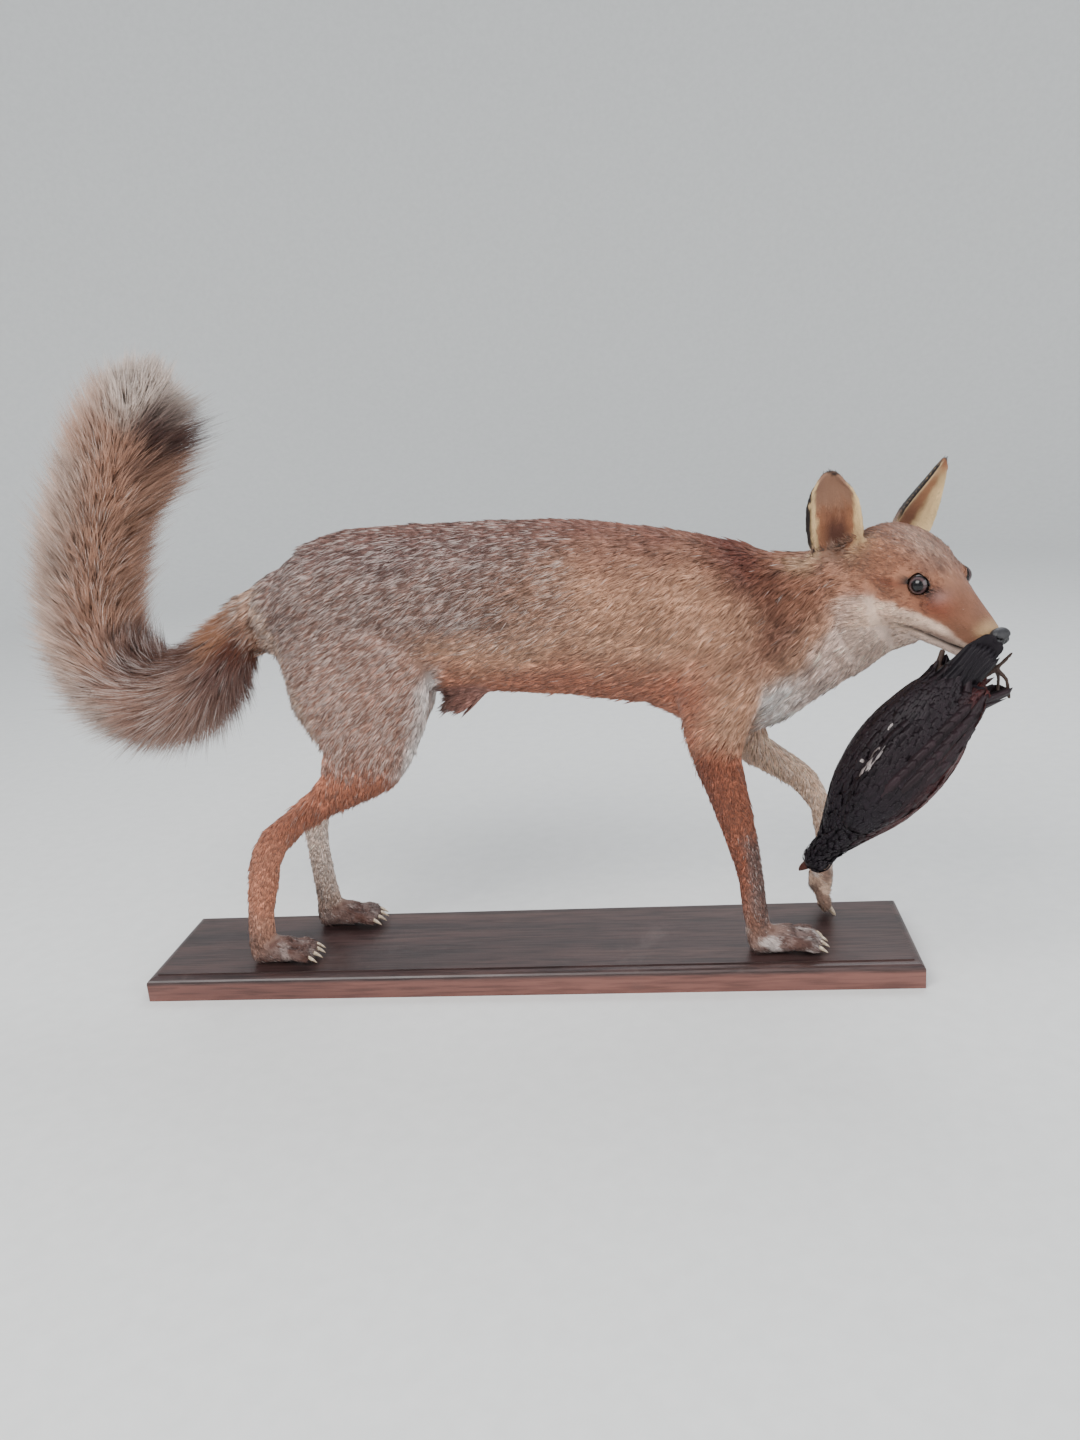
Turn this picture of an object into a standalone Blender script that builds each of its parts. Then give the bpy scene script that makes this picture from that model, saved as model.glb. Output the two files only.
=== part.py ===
"""A mounted red fox on a moulded board, with a moorhen in its jaws.

Metres, +Z up, +X the way the fox faces, +Y its left. The origin is the middle of the board's
underside. The solids follow the outline of the coat, out to the tips of the fur.
"""

import math

import bmesh
import bpy
import numpy as np
from mathutils import Matrix, Vector

# ---- driving dimensions -------------------------------------------------------------------
BOARD_LENGTH = 0.680
BOARD_WIDTH = 0.128
BOARD_THICK = 0.023
EDGE_INSET = 0.008  # width of the moulding round the board's top
EDGE_DROP = 0.006  # its height
EDGE_STEP = 0.0012  # the small square step at its inner side

GAP = 0.0003  # between any two solids that touch
CUT = 0.0004  # width of the cuts that part the body
SOLE_LEVEL = BOARD_THICK + GAP

HEAD_AT = (0.3500, -0.053, 0.3405)  # midway between the eyes
HEAD_YAW, HEAD_PITCH, HEAD_ROLL = (math.radians(a) for a in (-58, -12, 2))
HEAD_SIZE = 0.92  # against an adult head of 155 mm
EYE_AT = (-0.0040, 0.0222, -0.0024)  # the left eye; the right one is its mirror image
EYE_RADIUS = 0.0082
NOSE_AT = (0.0650, 0.0, -0.0275)
NOSE_HALF = (0.0066, 0.0090, 0.0070)
EAR_HEIGHT = 0.084
EAR_HALF_WIDTH = 0.0228
EAR_THICK = 0.0030
EAR_LEVELS = (0.0, 0.16, 0.36, 0.56, 0.74, 0.88, 1.0)
# half width at each level, as a share of EAR_HALF_WIDTH. The left ear is folded narrower
RIGHT_EAR_WIDTHS = (0.60, 0.80, 0.92, 0.94, 0.87, 0.70, 0.36)
LEFT_EAR_WIDTHS = (0.62, 0.86, 0.92, 0.78, 0.56, 0.39, 0.18)
# each ear's root in the head's frame, the way it rises and the way its opening faces
RIGHT_EAR = ((-0.077, -0.0433, -0.014), (-0.09, -0.08, 0.99), (-0.12, -0.99, 0.0))
LEFT_EAR = ((-0.081, 0.0268, -0.006), (0.43, 0.23, 0.87), (0.66, -0.75, 0.0))

FLESH_VOXEL = 0.003
FLESH_TRIANGLES = 4080
BIRD_VOXEL = 0.0011
BIRD_TRIANGLES = 1050
FINE_SHARE = 0.985  # how readily the face and the paws give up faces, against the trunk

COAT_RED = (0.42, 0.17, 0.07)
COAT_PALE = (0.62, 0.52, 0.42)
BOARD_BROWN = (0.10, 0.065, 0.055)
FEATHER_SLATE = (0.030, 0.025, 0.028)
GLASS_BROWN = (0.03, 0.015, 0.01)
NOSE_BLACK = (0.02, 0.02, 0.022)


# ---- helpers ------------------------------------------------------------------------------
def finish(name, colour, roughness, metallic=0.0):
    """A plain material for one finish."""
    made = bpy.data.materials.get(name) or bpy.data.materials.new(name)
    made.use_nodes = True
    shader = made.node_tree.nodes["Principled BSDF"]
    shader.inputs["Base Color"].default_value = (*colour, 1.0)
    shader.inputs["Roughness"].default_value = roughness
    shader.inputs["Metallic"].default_value = metallic
    return made


def add(name, mesh, material=None, hidden=False):
    """Links a mesh to the scene as an object. A hidden one is a cutter or a guide."""
    made = bpy.data.objects.new(name, mesh)
    bpy.context.scene.collection.objects.link(made)
    if material:
        mesh.materials.clear()
        mesh.materials.append(material)
    if hidden:
        made.hide_render = True
        made.display_type = "WIRE"
    return made


def mesh_of(name, work):
    """Ends a bmesh as a mesh with its faces pointing out."""
    bmesh.ops.recalc_face_normals(work, faces=work.faces)
    mesh = bpy.data.meshes.new(name)
    work.to_mesh(mesh)
    work.free()
    return mesh


def between(rows, count):
    """count rows on the Catmull-Rom curve through the rows given."""
    rows = np.array(rows, float)
    padded = np.vstack([2 * rows[0] - rows[1], rows, 2 * rows[-1] - rows[-2]])
    out = []
    for place in np.linspace(0, len(rows) - 1, count):
        i = min(int(place), len(rows) - 2)
        t = place - i
        a, b, c, d = padded[i : i + 4]
        out.append(
            0.5 * (2 * b + (c - a) * t + (2 * a - 5 * b + 4 * c - d) * t**2 + (3 * b - a - 3 * c + d) * t**3)
        )
    return np.array(out)


def loft(name, rows, side=(0, 1, 0), sides=20, steps=4, blunt=0.6, egg=0.0, place=None):
    """A closed, round-ended tube through rows of (x, y, z, half depth, half width).

    The half width lies along side, and the half depth square to it and to the path. egg narrows
    the tube's lower half, and blunt is how far the round ends stand out, in end radii.
    """
    dense = between(rows, (len(rows) - 1) * steps + 1)
    points, depth, width = dense[:, :3], np.abs(dense[:, 3]), np.abs(dense[:, 4])
    tangents = np.gradient(points, axis=0)
    tangents /= np.linalg.norm(tangents, axis=1)[:, None]
    rings = []
    for end, way in ((0, -1), (len(points) - 1, 1)):
        caps = []
        for turn in (60, 30):
            push = way * blunt * depth[end] * math.sin(math.radians(turn))
            shrink = math.cos(math.radians(turn))
            caps.append((points[end] + tangents[end] * push, end, shrink))
        rings.append(caps if end == 0 else caps[::-1])
    stack = rings[0] + [(p, i, 1.0) for i, p in enumerate(points)] + rings[1]
    work = bmesh.new()
    loops = []
    last_up = np.array((0.0, 0.0, 1.0))
    for centre, i, scale in stack:
        across = np.array(side, float)
        across -= tangents[i] * (across @ tangents[i])
        across /= np.linalg.norm(across)
        up = np.cross(tangents[i], across)
        if up @ last_up < 0:
            up = -up
        last_up = up
        ring = []
        for turn in np.linspace(0, 2 * math.pi, sides, endpoint=False):
            lower = max(0.0, -math.sin(turn))
            reach = width[i] * scale * math.cos(turn) * (1 - egg * lower)
            ring.append(work.verts.new(centre + across * reach + up * depth[i] * scale * math.sin(turn)))
        loops.append(ring)
    for one, two in zip(loops, loops[1:]):
        for j in range(sides):
            work.faces.new((one[j], one[(j + 1) % sides], two[(j + 1) % sides], two[j]))
    for ring, end, way in ((loops[0], 0, -1), (loops[-1], len(points) - 1, 1)):
        tip = work.verts.new(points[end] + tangents[end] * way * blunt * depth[end])
        for j in range(sides):
            work.faces.new((ring[j], ring[(j + 1) % sides], tip))
    if place is not None:
        bmesh.ops.transform(work, matrix=place, verts=work.verts)
    return mesh_of(name, work)


def ball(name, centre, radii, place=None):
    """A closed ellipsoid."""
    work = bmesh.new()
    scale = Matrix.Translation(centre) @ Matrix.Diagonal((*radii, 1.0))
    bmesh.ops.create_uvsphere(work, u_segments=14, v_segments=8, radius=1.0, matrix=scale)
    if place is not None:
        bmesh.ops.transform(work, matrix=place, verts=work.verts)
    return mesh_of(name, work)


def evaluated(obj):
    """A new mesh of the object as its modifiers leave it, in world space."""
    bpy.context.view_layer.update()
    graph = bpy.context.evaluated_depsgraph_get()
    mesh = bpy.data.meshes.new_from_object(obj.evaluated_get(graph))
    mesh.transform(obj.matrix_world)
    return mesh


def discard(*objects):
    for obj in objects:
        bpy.data.objects.remove(obj)


def fused(name, meshes, voxel, triangles, passes, fine_spots=()):
    """One smooth closed skin round all the meshes, at about so many triangles.

    fine_spots are (centre, radius) of the places that keep more of their faces.
    """
    work = bmesh.new()
    for mesh in meshes:
        work.from_mesh(mesh)
    joined = bpy.data.meshes.new(name)
    work.to_mesh(joined)
    work.free()
    lump = add(name + "_lump", joined)
    shrink = lump.modifiers.new("one skin", "REMESH")
    shrink.mode = "VOXEL"
    shrink.voxel_size = voxel
    ease = lump.modifiers.new("soft joins", "SMOOTH")
    ease.factor = 0.5
    ease.iterations = passes
    dense = evaluated(lump)
    discard(lump)
    lump = add(name + "_dense", dense)
    group = lump.vertex_groups.new(name="plain")
    for vertex in dense.vertices:
        fine = any((vertex.co - Vector(c)).length < r for c, r in fine_spots)
        group.add([vertex.index], FINE_SHARE if fine else 1.0, "REPLACE")
    thin = lump.modifiers.new("fewer faces", "DECIMATE")
    thin.vertex_group = "plain"
    thin.use_collapse_triangulate = True
    thin.ratio = min(1.0, triangles / (2 * len(dense.polygons)))
    mesh = evaluated(lump)
    discard(lump)
    return mesh


def less(mesh, other):
    """mesh with other taken away from it."""
    body = add("body_work", mesh)
    tool = add("tool_work", other, hidden=True)
    step = body.modifiers.new("step", "BOOLEAN")
    step.operation = "DIFFERENCE"
    step.object = tool
    step.solver = "EXACT"
    made = evaluated(body)
    discard(body, tool)
    return made


def swollen(mesh, by=GAP):
    """A copy of the mesh pushed out along its normals."""
    copy = mesh.copy()
    work = bmesh.new()
    work.from_mesh(copy)
    work.normal_update()
    moved = [v.co + v.normal * by for v in work.verts]
    for vertex, place in zip(work.verts, moved):
        vertex.co = place
    work.to_mesh(copy)
    work.free()
    return copy


def carved(mesh, *others):
    """mesh cut back to leave a small gap to each of the others."""
    for other in others:
        mesh = less(mesh, swollen(other))
    return mesh


def thin_disc(centre, normal, radius):
    """A flat cutter that parts a limb square to normal."""
    work = bmesh.new()
    turn = Vector(normal).normalized().to_track_quat("Z", "Y").to_matrix().to_4x4()
    bmesh.ops.create_cone(
        work,
        cap_ends=True,
        segments=24,
        radius1=radius,
        radius2=radius,
        depth=CUT,
        matrix=Matrix.Translation(centre) @ turn,
    )
    return mesh_of("disc", work)


def bodies_of(mesh):
    """(centre of mass of the points, mesh) for each loose part of a mesh."""
    work = bmesh.new()
    work.from_mesh(mesh)
    work.verts.ensure_lookup_table()
    seen, parts = set(), []
    for start in work.verts:
        if start.index in seen:
            continue
        todo, found = [start], []
        seen.add(start.index)
        while todo:
            here = todo.pop()
            found.append(here)
            for edge in here.link_edges:
                there = edge.other_vert(here)
                if there.index not in seen:
                    seen.add(there.index)
                    todo.append(there)
        parts.append(found)
    made = []
    for found in parts:
        kept = {v.index for v in found}
        one = bmesh.new()
        one.from_mesh(mesh)
        one.verts.ensure_lookup_table()
        bmesh.ops.delete(one, geom=[v for v in one.verts if v.index not in kept], context="VERTS")
        centre = sum((v.co for v in one.verts), Vector()) / len(one.verts)
        made.append((centre, mesh_of("piece", one)))
    work.free()
    return made


def biggest(mesh):
    """The largest loose part of a mesh, leaving out slivers cut loose by carving."""
    return max((m for _, m in bodies_of(mesh)), key=lambda m: len(m.vertices))


# ---- the board ----------------------------------------------------------------------------
def board_mesh():
    """A slab with a step and a quarter round worked along its top edges."""
    levels = [(0.0, 0.0), (0.0, BOARD_THICK - EDGE_DROP)]
    rise = EDGE_DROP - EDGE_STEP
    for turn in (18, 36, 54, 72, 90):
        angle = math.radians(turn)
        levels.append(
            (EDGE_INSET * (1 - math.cos(angle)), BOARD_THICK - EDGE_DROP + rise * math.sin(angle))
        )
    levels.append((EDGE_INSET, BOARD_THICK))
    work = bmesh.new()
    loops = []
    for inset, height in levels:
        half_x, half_y = BOARD_LENGTH / 2 - inset, BOARD_WIDTH / 2 - inset
        corners = ((-half_x, -half_y), (half_x, -half_y), (half_x, half_y), (-half_x, half_y))
        loops.append([work.verts.new((x, y, height)) for x, y in corners])
    for one, two in zip(loops, loops[1:]):
        for j in range(4):
            work.faces.new((one[j], one[(j + 1) % 4], two[(j + 1) % 4], two[j]))
    work.faces.new(loops[0])
    work.faces.new(loops[-1])
    return mesh_of("board", work)


# ---- the body, as lofts that are fused and then parted ------------------------------------
def trunk_lofts():
    # x, y, z, half depth, half width
    barrel = [
        (-0.190, 0.004, 0.334, 0.043, 0.036),
        (-0.165, 0.004, 0.333, 0.061, 0.049),
        (-0.130, 0.004, 0.334, 0.070, 0.056),
        (-0.090, 0.003, 0.335, 0.072, 0.057),
        (-0.040, 0.002, 0.331, 0.075, 0.057),
        (0.010, 0.002, 0.329, 0.076, 0.058),
        (0.060, 0.002, 0.325, 0.077, 0.059),
        (0.110, 0.002, 0.317, 0.077, 0.059),
        (0.150, 0.002, 0.309, 0.077, 0.058),
        (0.190, 0.002, 0.293, 0.082, 0.054),
        (0.215, 0.001, 0.288, 0.077, 0.050),
        (0.236, 0.000, 0.290, 0.068, 0.044),
    ]
    neck = [
        (0.170, 0.002, 0.306, 0.068, 0.052),
        (0.205, 0.001, 0.298, 0.070, 0.050),
        (0.235, 0.003, 0.297, 0.069, 0.049),
        (0.262, 0.006, 0.303, 0.063, 0.049),
        (0.285, 0.004, 0.310, 0.055, 0.048),
        (0.303, -0.006, 0.316, 0.046, 0.043),
    ]
    groin_tuft = [
        (-0.018, 0.002, 0.262, 0.011, 0.012),
        (-0.036, 0.002, 0.252, 0.013, 0.010),
        (-0.052, 0.002, 0.245, 0.008, 0.006),
    ]
    made = [
        loft("barrel", barrel, egg=0.18),
        loft("neck", neck, egg=0.12),
        loft("groin tuft", groin_tuft),
    ]
    for side in (-1, 1):
        made.append(ball("haunch", (-0.132, side * 0.022 + 0.004, 0.305), (0.062, 0.036, 0.062)))
        made.append(ball("shoulder", (0.182, side * 0.022 + 0.002, 0.300), (0.046, 0.035, 0.070)))
    return made


def toes(heel, spread, length, radius, drop=0.0):
    """Four toes fanned out from a paw's knuckles. The middle two reach furthest."""
    made = []
    x, y, z = heel
    for share, reach in ((-1.0, 0.88), (-0.34, 1.0), (0.34, 1.0), (1.0, 0.88)):
        out = spread * share
        rows = [
            (x, y + out * 0.75, z, radius, radius),
            (x + length * 0.45 * reach, y + out, z + 0.0010, radius * 1.02, radius),
            (x + length * 0.80 * reach, y + out * 1.05, z - 0.0035 - drop, radius * 0.85, radius * 0.92),
        ]
        made.append(loft("toe", rows, sides=12, steps=3))
    return made


def hind_leg(side, hock_shift, foot_shift, slim):
    """side is -1 for the right leg, 1 for the left. The shifts move the hock and the foot along."""
    hip = side * 0.026 + 0.004
    foot = side * 0.036 + 0.002
    knee = -0.006 if side > 0 else 0.0
    thigh = [
        (-0.116, hip, 0.345, 0.060, 0.026),
        (-0.118, hip + side * 0.002, 0.312, 0.069, 0.031),
        (-0.120 + knee * 0.5, hip + side * 0.005, 0.277, 0.065, 0.031),
        (-0.1185 + knee, hip + side * 0.008, 0.246, 0.057, 0.028),
        (-0.123 + knee, foot, 0.216, 0.044, 0.023),
        (-0.136 + knee, foot, 0.196, 0.031, 0.019),
    ]
    shank = [
        (-0.117 + knee, foot, 0.222, 0.038, 0.023),
        (-0.136 + knee, foot, 0.197, 0.029, 0.019),
        (-0.158 + hock_shift * 0.5, foot, 0.179, 0.0190, 0.0155),
        (-0.184 + hock_shift * 0.8, foot, 0.1620, 0.0150, 0.0130),
        (-0.206 + hock_shift, foot, 0.144, 0.0145 - slim, 0.0118),
    ]
    pastern = [
        (-0.2080 + hock_shift, foot, 0.1450, 0.0145 - slim, 0.0118),
        (-0.2215 + hock_shift * 0.8 + foot_shift * 0.2, foot, 0.1250, 0.0158 - slim, 0.0115),
        (-0.2290 + hock_shift * 0.5 + foot_shift * 0.5, foot, 0.0980, 0.0150 - slim, 0.0112),
        (-0.2345 + hock_shift * 0.2 + foot_shift * 0.8, foot, 0.0720, 0.0134 - slim / 2, 0.0112),
        (-0.2375 + foot_shift, foot, 0.0480, 0.0128, 0.0115),
        (-0.2385 + foot_shift, foot, 0.0360, 0.0130, 0.0120),
    ]
    pad = [
        (-0.2440 + foot_shift, foot, 0.0310, 0.0100, 0.0115),
        (-0.2290 + foot_shift, foot, 0.0345, 0.0120, 0.0140),
        (-0.2150 + foot_shift, foot, 0.0345, 0.0115, 0.0158),
    ]
    return [
        loft("thigh", thigh, sides=24),
        loft("shank", shank),
        loft("pastern", pastern, sides=16),
        loft("pad", pad),
        *toes((-0.2130 + foot_shift, foot, 0.0330), 0.0125, 0.0270, 0.0062),
    ]


def right_fore_leg():
    y = -0.034
    upper = [
        (0.196, -0.024, 0.322, 0.040, 0.022),
        (0.188, -0.029, 0.285, 0.042, 0.026),
        (0.181, -0.033, 0.248, 0.036, 0.024),
        (0.175, y, 0.215, 0.026, 0.020),
    ]
    lower = [
        (0.178, y, 0.226, 0.029, 0.020),
        (0.177, y, 0.200, 0.0220, 0.0175),
        (0.185, y, 0.165, 0.0176, 0.0150),
        (0.194, y, 0.128, 0.0152, 0.0130),
        (0.200, y, 0.098, 0.0124, 0.0118),
        (0.2030, y, 0.070, 0.0118, 0.0112),
        (0.2058, y, 0.046, 0.0116, 0.0112),
        (0.2075, y, 0.036, 0.0118, 0.0118),
    ]
    pad = [
        (0.2020, y, 0.0310, 0.0100, 0.0125),
        (0.2180, y, 0.0335, 0.0118, 0.0158),
        (0.2310, y, 0.0345, 0.0118, 0.0170),
    ]
    return [
        loft("upper arm", upper, sides=24),
        loft("forearm", lower, sides=18),
        loft("pad", pad),
        *toes((0.2330, y, 0.0335), 0.0140, 0.0290, 0.0068),
    ]


def left_fore_leg():
    """The raised leg: the forearm reaches forward and the wrist hangs, sole turned back."""
    y = 0.034
    upper = [
        (0.198, 0.026, 0.318, 0.036, 0.022),
        (0.190, 0.030, 0.270, 0.038, 0.024),
        (0.195, 0.033, 0.225, 0.030, 0.022),
        (0.206, y, 0.200, 0.020, 0.018),
    ]
    forearm = [
        (0.198, 0.032, 0.206, 0.024, 0.020),
        (0.213, 0.033, 0.186, 0.0165, 0.0165),
        (0.234, y, 0.170, 0.0146, 0.0140),
        (0.253, y, 0.155, 0.0135, 0.0125),
        (0.266, y, 0.135, 0.0112, 0.0115),
        (0.2715, y, 0.114, 0.0100, 0.0105),
    ]
    hand = [
        (0.2710, y, 0.118, 0.0104, 0.0106),
        (0.2715, y, 0.100, 0.0092, 0.0102),
        (0.2700, y, 0.082, 0.0097, 0.0118),
        (0.2685, y, 0.064, 0.0112, 0.0145),
        (0.2675, y, 0.052, 0.0112, 0.0152),
    ]
    made = [
        loft("upper arm", upper, sides=24),
        loft("forearm", forearm),
        loft("hand", hand, sides=16),
    ]
    for share, reach in ((-1.0, 0.80), (-0.34, 1.0), (0.34, 1.0), (1.0, 0.80)):
        out = 0.0118 * share
        rows = [
            (0.2675, y + out * 0.75, 0.052, 0.0066, 0.0058),
            (0.2700, y + out, 0.051 - 0.013 * reach, 0.0068, 0.0060),
            (0.2725, y + out * 1.05, 0.051 - 0.022 * reach, 0.0056, 0.0052),
        ]
        made.append(loft("toe", rows, sides=12, steps=3))
    return made


TAIL_ROWS = [
    (-0.182, 0.004, 0.342, 0.036, 0.032),
    (-0.200, 0.004, 0.338, 0.028, 0.026),
    (-0.218, 0.004, 0.330, 0.0235, 0.022),
    (-0.240, 0.004, 0.310, 0.030, 0.026),
    (-0.259, 0.004, 0.288, 0.038, 0.034),
    (-0.288, 0.004, 0.269, 0.045, 0.040),
    (-0.322, 0.004, 0.265, 0.046, 0.042),
    (-0.349, 0.004, 0.283, 0.048, 0.044),
    (-0.361, 0.004, 0.318, 0.050, 0.046),
    (-0.361, 0.004, 0.355, 0.052, 0.047),
    (-0.350, 0.004, 0.398, 0.052, 0.047),
    (-0.332, 0.004, 0.441, 0.050, 0.046),
    (-0.311, 0.004, 0.480, 0.048, 0.044),
    (-0.291, 0.004, 0.510, 0.044, 0.040),
    (-0.277, 0.004, 0.528, 0.036, 0.032),
]


def head_place():
    """The matrix from the head's own frame, +X to the nose and +Y to its left, to the fox's."""
    yaw = Matrix.Rotation(HEAD_YAW, 4, "Z")
    pitch = Matrix.Rotation(-HEAD_PITCH, 4, "Y")
    roll = Matrix.Rotation(HEAD_ROLL, 4, "X")
    return Matrix.Translation(HEAD_AT) @ yaw @ pitch @ roll @ Matrix.Scale(HEAD_SIZE, 4)


def head_lofts(place):
    # x, y, z, half depth, half width in the head's own frame, from the nape to the nose
    skull = [
        (-0.096, 0.0, -0.018, 0.031, 0.037),
        (-0.073, 0.0, -0.010, 0.037, 0.0415),
        (-0.050, 0.0, -0.007, 0.038, 0.0415),
        (-0.026, 0.0, -0.008, 0.0345, 0.0365),
        (-0.007, 0.0, -0.0125, 0.0280, 0.0300),
        (0.008, 0.0, -0.0170, 0.0222, 0.0240),
        (0.021, 0.0, -0.0205, 0.0178, 0.0198),
        (0.035, 0.0, -0.0248, 0.0144, 0.0170),
        (0.048, 0.0, -0.0284, 0.0118, 0.0142),
        (0.057, 0.0, -0.0312, 0.0088, 0.0112),
    ]
    made = [loft("skull", skull, sides=24, place=place, egg=0.05)]
    for side in (-1, 1):
        cheek = [
            (-0.084, side * 0.018, -0.036, 0.022, 0.019),
            (-0.057, side * 0.025, -0.035, 0.026, 0.020),
            (-0.030, side * 0.021, -0.031, 0.019, 0.018),
            (-0.006, side * 0.015, -0.028, 0.012, 0.012),
        ]
        made.append(loft("cheek", cheek, place=place))
        made.append(ball("brow", (-0.006, side * 0.0200, 0.0010), (0.013, 0.0070, 0.0090), place))
        lip = [
            (-0.012, side * 0.0200, -0.0330, 0.0095, 0.0085),
            (0.008, side * 0.0155, -0.0350, 0.0098, 0.0080),
            (0.026, side * 0.0118, -0.0365, 0.0095, 0.0075),
            (0.042, side * 0.0088, -0.0375, 0.0088, 0.0068),
            (0.055, side * 0.0055, -0.0370, 0.0078, 0.0062),
        ]
        made.append(loft("upper lip", lip, sides=14, place=place))
    throat = [
        (-0.060, 0.0, -0.0580, 0.0300, 0.0300),
        (-0.040, 0.0, -0.0520, 0.0240, 0.0270),
        (-0.022, 0.0, -0.0475, 0.0180, 0.0235),
        (-0.008, 0.0, -0.0475, 0.0110, 0.0190),
    ]
    made.append(loft("throat", throat, place=place))
    return made


def jaw_mesh(place):
    rows = [
        (-0.020, 0.0, -0.0480, 0.0100, 0.0215),
        (-0.002, 0.0, -0.0482, 0.0092, 0.0185),
        (0.014, 0.0, -0.0488, 0.0084, 0.0150),
        (0.030, 0.0, -0.0500, 0.0076, 0.0120),
        (0.044, 0.0, -0.0508, 0.0068, 0.0098),
        (0.052, 0.0, -0.0515, 0.0056, 0.0080),
    ]
    return loft("jaw", rows, sides=12, steps=1, place=place)


def ear_mesh(side, place):
    """A cupped leaf of even thickness. side is -1 for the right ear and 1 for the left."""
    root, rise, face = (Vector(way) for way in (RIGHT_EAR if side < 0 else LEFT_EAR))
    rise.normalize()
    face = (face - rise * face.dot(rise)).normalized()
    across = rise.cross(face)
    root = place @ root
    shares = RIGHT_EAR_WIDTHS if side < 0 else LEFT_EAR_WIDTHS
    work = bmesh.new()
    grid = []
    for v in np.linspace(0, 1, 9):
        half = EAR_HALF_WIDTH * float(np.interp(v, EAR_LEVELS, shares))
        cup = 0.80 * half * (1 - 0.35 * v)
        lean = 0.008 * math.sin(v * math.pi * 0.5)
        row = []
        for u in np.linspace(-1, 1, 7):
            bend = u * 1.05
            sideways = half * math.sin(bend) / math.sin(1.05)
            depth = cup * (math.cos(1.05) - math.cos(bend)) / (1 - math.cos(1.05))
            rounding = 0.007 * u * u * v
            point = root + rise * (EAR_HEIGHT * v - rounding) + across * sideways + face * (depth + lean)
            row.append(work.verts.new(point))
        grid.append(row)
    for one, two in zip(grid, grid[1:]):
        for j in range(len(one) - 1):
            work.faces.new((one[j], one[j + 1], two[j + 1], two[j]))
    sheet = add("ear_sheet", mesh_of("ear", work))
    wall = sheet.modifiers.new("wall", "SOLIDIFY")
    wall.thickness = EAR_THICK
    wall.offset = 0.0
    made = evaluated(sheet)
    discard(sheet)
    return made


# ---- the bird -----------------------------------------------------------------------------
# x, y, z, half depth, half width
BIRD_BODY = [
    (0.3463, -0.092, 0.2746, 0.0101, 0.0130),
    (0.3410, -0.091, 0.2600, 0.0240, 0.0210),
    (0.3285, -0.089, 0.2345, 0.0350, 0.0280),
    (0.3100, -0.086, 0.2071, 0.0380, 0.0310),
    (0.2900, -0.083, 0.1792, 0.0329, 0.0280),
    (0.2726, -0.079, 0.1543, 0.0207, 0.0200),
    (0.2619, -0.077, 0.1386, 0.0132, 0.0140),
    (0.2538, -0.075, 0.1289, 0.0116, 0.0118),
]
BIRD_TAIL = [
    (0.3430, -0.094, 0.2600, 0.0140, 0.0090),
    (0.3520, -0.096, 0.2740, 0.0145, 0.0070),
    (0.3620, -0.099, 0.2880, 0.0140, 0.0045),
    (0.3730, -0.103, 0.3000, 0.0120, 0.0030),
]
BIRD_WING = [
    (0.2770, -0.083, 0.1649, 0.0140, 0.0090),
    (0.3000, -0.086, 0.1944, 0.0260, 0.0100),
    (0.3240, -0.089, 0.2249, 0.0260, 0.0090),
    (0.3520, -0.092, 0.2513, 0.0150, 0.0060),
    (0.3680, -0.096, 0.2660, 0.0050, 0.0030),
]
BIRD_BILL = [
    (0.2456, -0.070, 0.1188, 0.0050, 0.0045),
    (0.2415, -0.063, 0.1123, 0.0034, 0.0030),
    (0.2385, -0.057, 0.1072, 0.0018, 0.0018),
]
BIRD_HEAD = ((0.2517, -0.074, 0.1244), (0.0127, 0.0116, 0.0127))
WING_STANCE = (0.019, 0.025, 0.022, 0.014, 0.007)  # how far each wing row stands from the spine
NEAR_SHANK = [(0.3300, -0.092, 0.2620), (0.3360, -0.089, 0.2760), (0.3430, -0.083, 0.2920)]
FAR_SHANK = [(0.3560, -0.086, 0.2600), (0.3700, -0.090, 0.2720), (0.3800, -0.092, 0.2790)]
FAR_FOOT = [
    [(0.3785, -0.0915, 0.2780), (0.3840, -0.0915, 0.2830), (0.3905, -0.0900, 0.2890)],
    [(0.3785, -0.0915, 0.2780), (0.3860, -0.0930, 0.2700), (0.3885, -0.0930, 0.2550)],
    [(0.3785, -0.0915, 0.2780), (0.3830, -0.0850, 0.2700), (0.3840, -0.0800, 0.2580)],
]


def tube(name, points, radius):
    """A thin round stick through points, for shanks and toes."""
    rows = [(*p, radius, radius) for p in points]
    return loft(name, rows, side=(0.3, 1, 0.2), sides=8, steps=2, blunt=0.5)


def bird_mesh():
    """The bird in one piece: body, folded wings, tail, legs and bill."""
    parts = [
        loft("body", BIRD_BODY),
        ball("head", *BIRD_HEAD),
        loft("tail", BIRD_TAIL, sides=14),
        loft("bill", BIRD_BILL, sides=10),
        tube("near shank", NEAR_SHANK, 0.0026),
        tube("far shank", FAR_SHANK, 0.0026),
    ]
    for side in (-1, 1):
        wing = []
        for (x, y, z, depth, width), stance in zip(BIRD_WING, WING_STANCE):
            wing.append((x, y + side * stance, z, depth, width))
        parts.append(loft("wing", wing, sides=14))
    parts += [tube("toe", points, 0.0019) for points in FAR_FOOT]
    return fused("bird", parts, BIRD_VOXEL, BIRD_TRIANGLES, 1)


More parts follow.
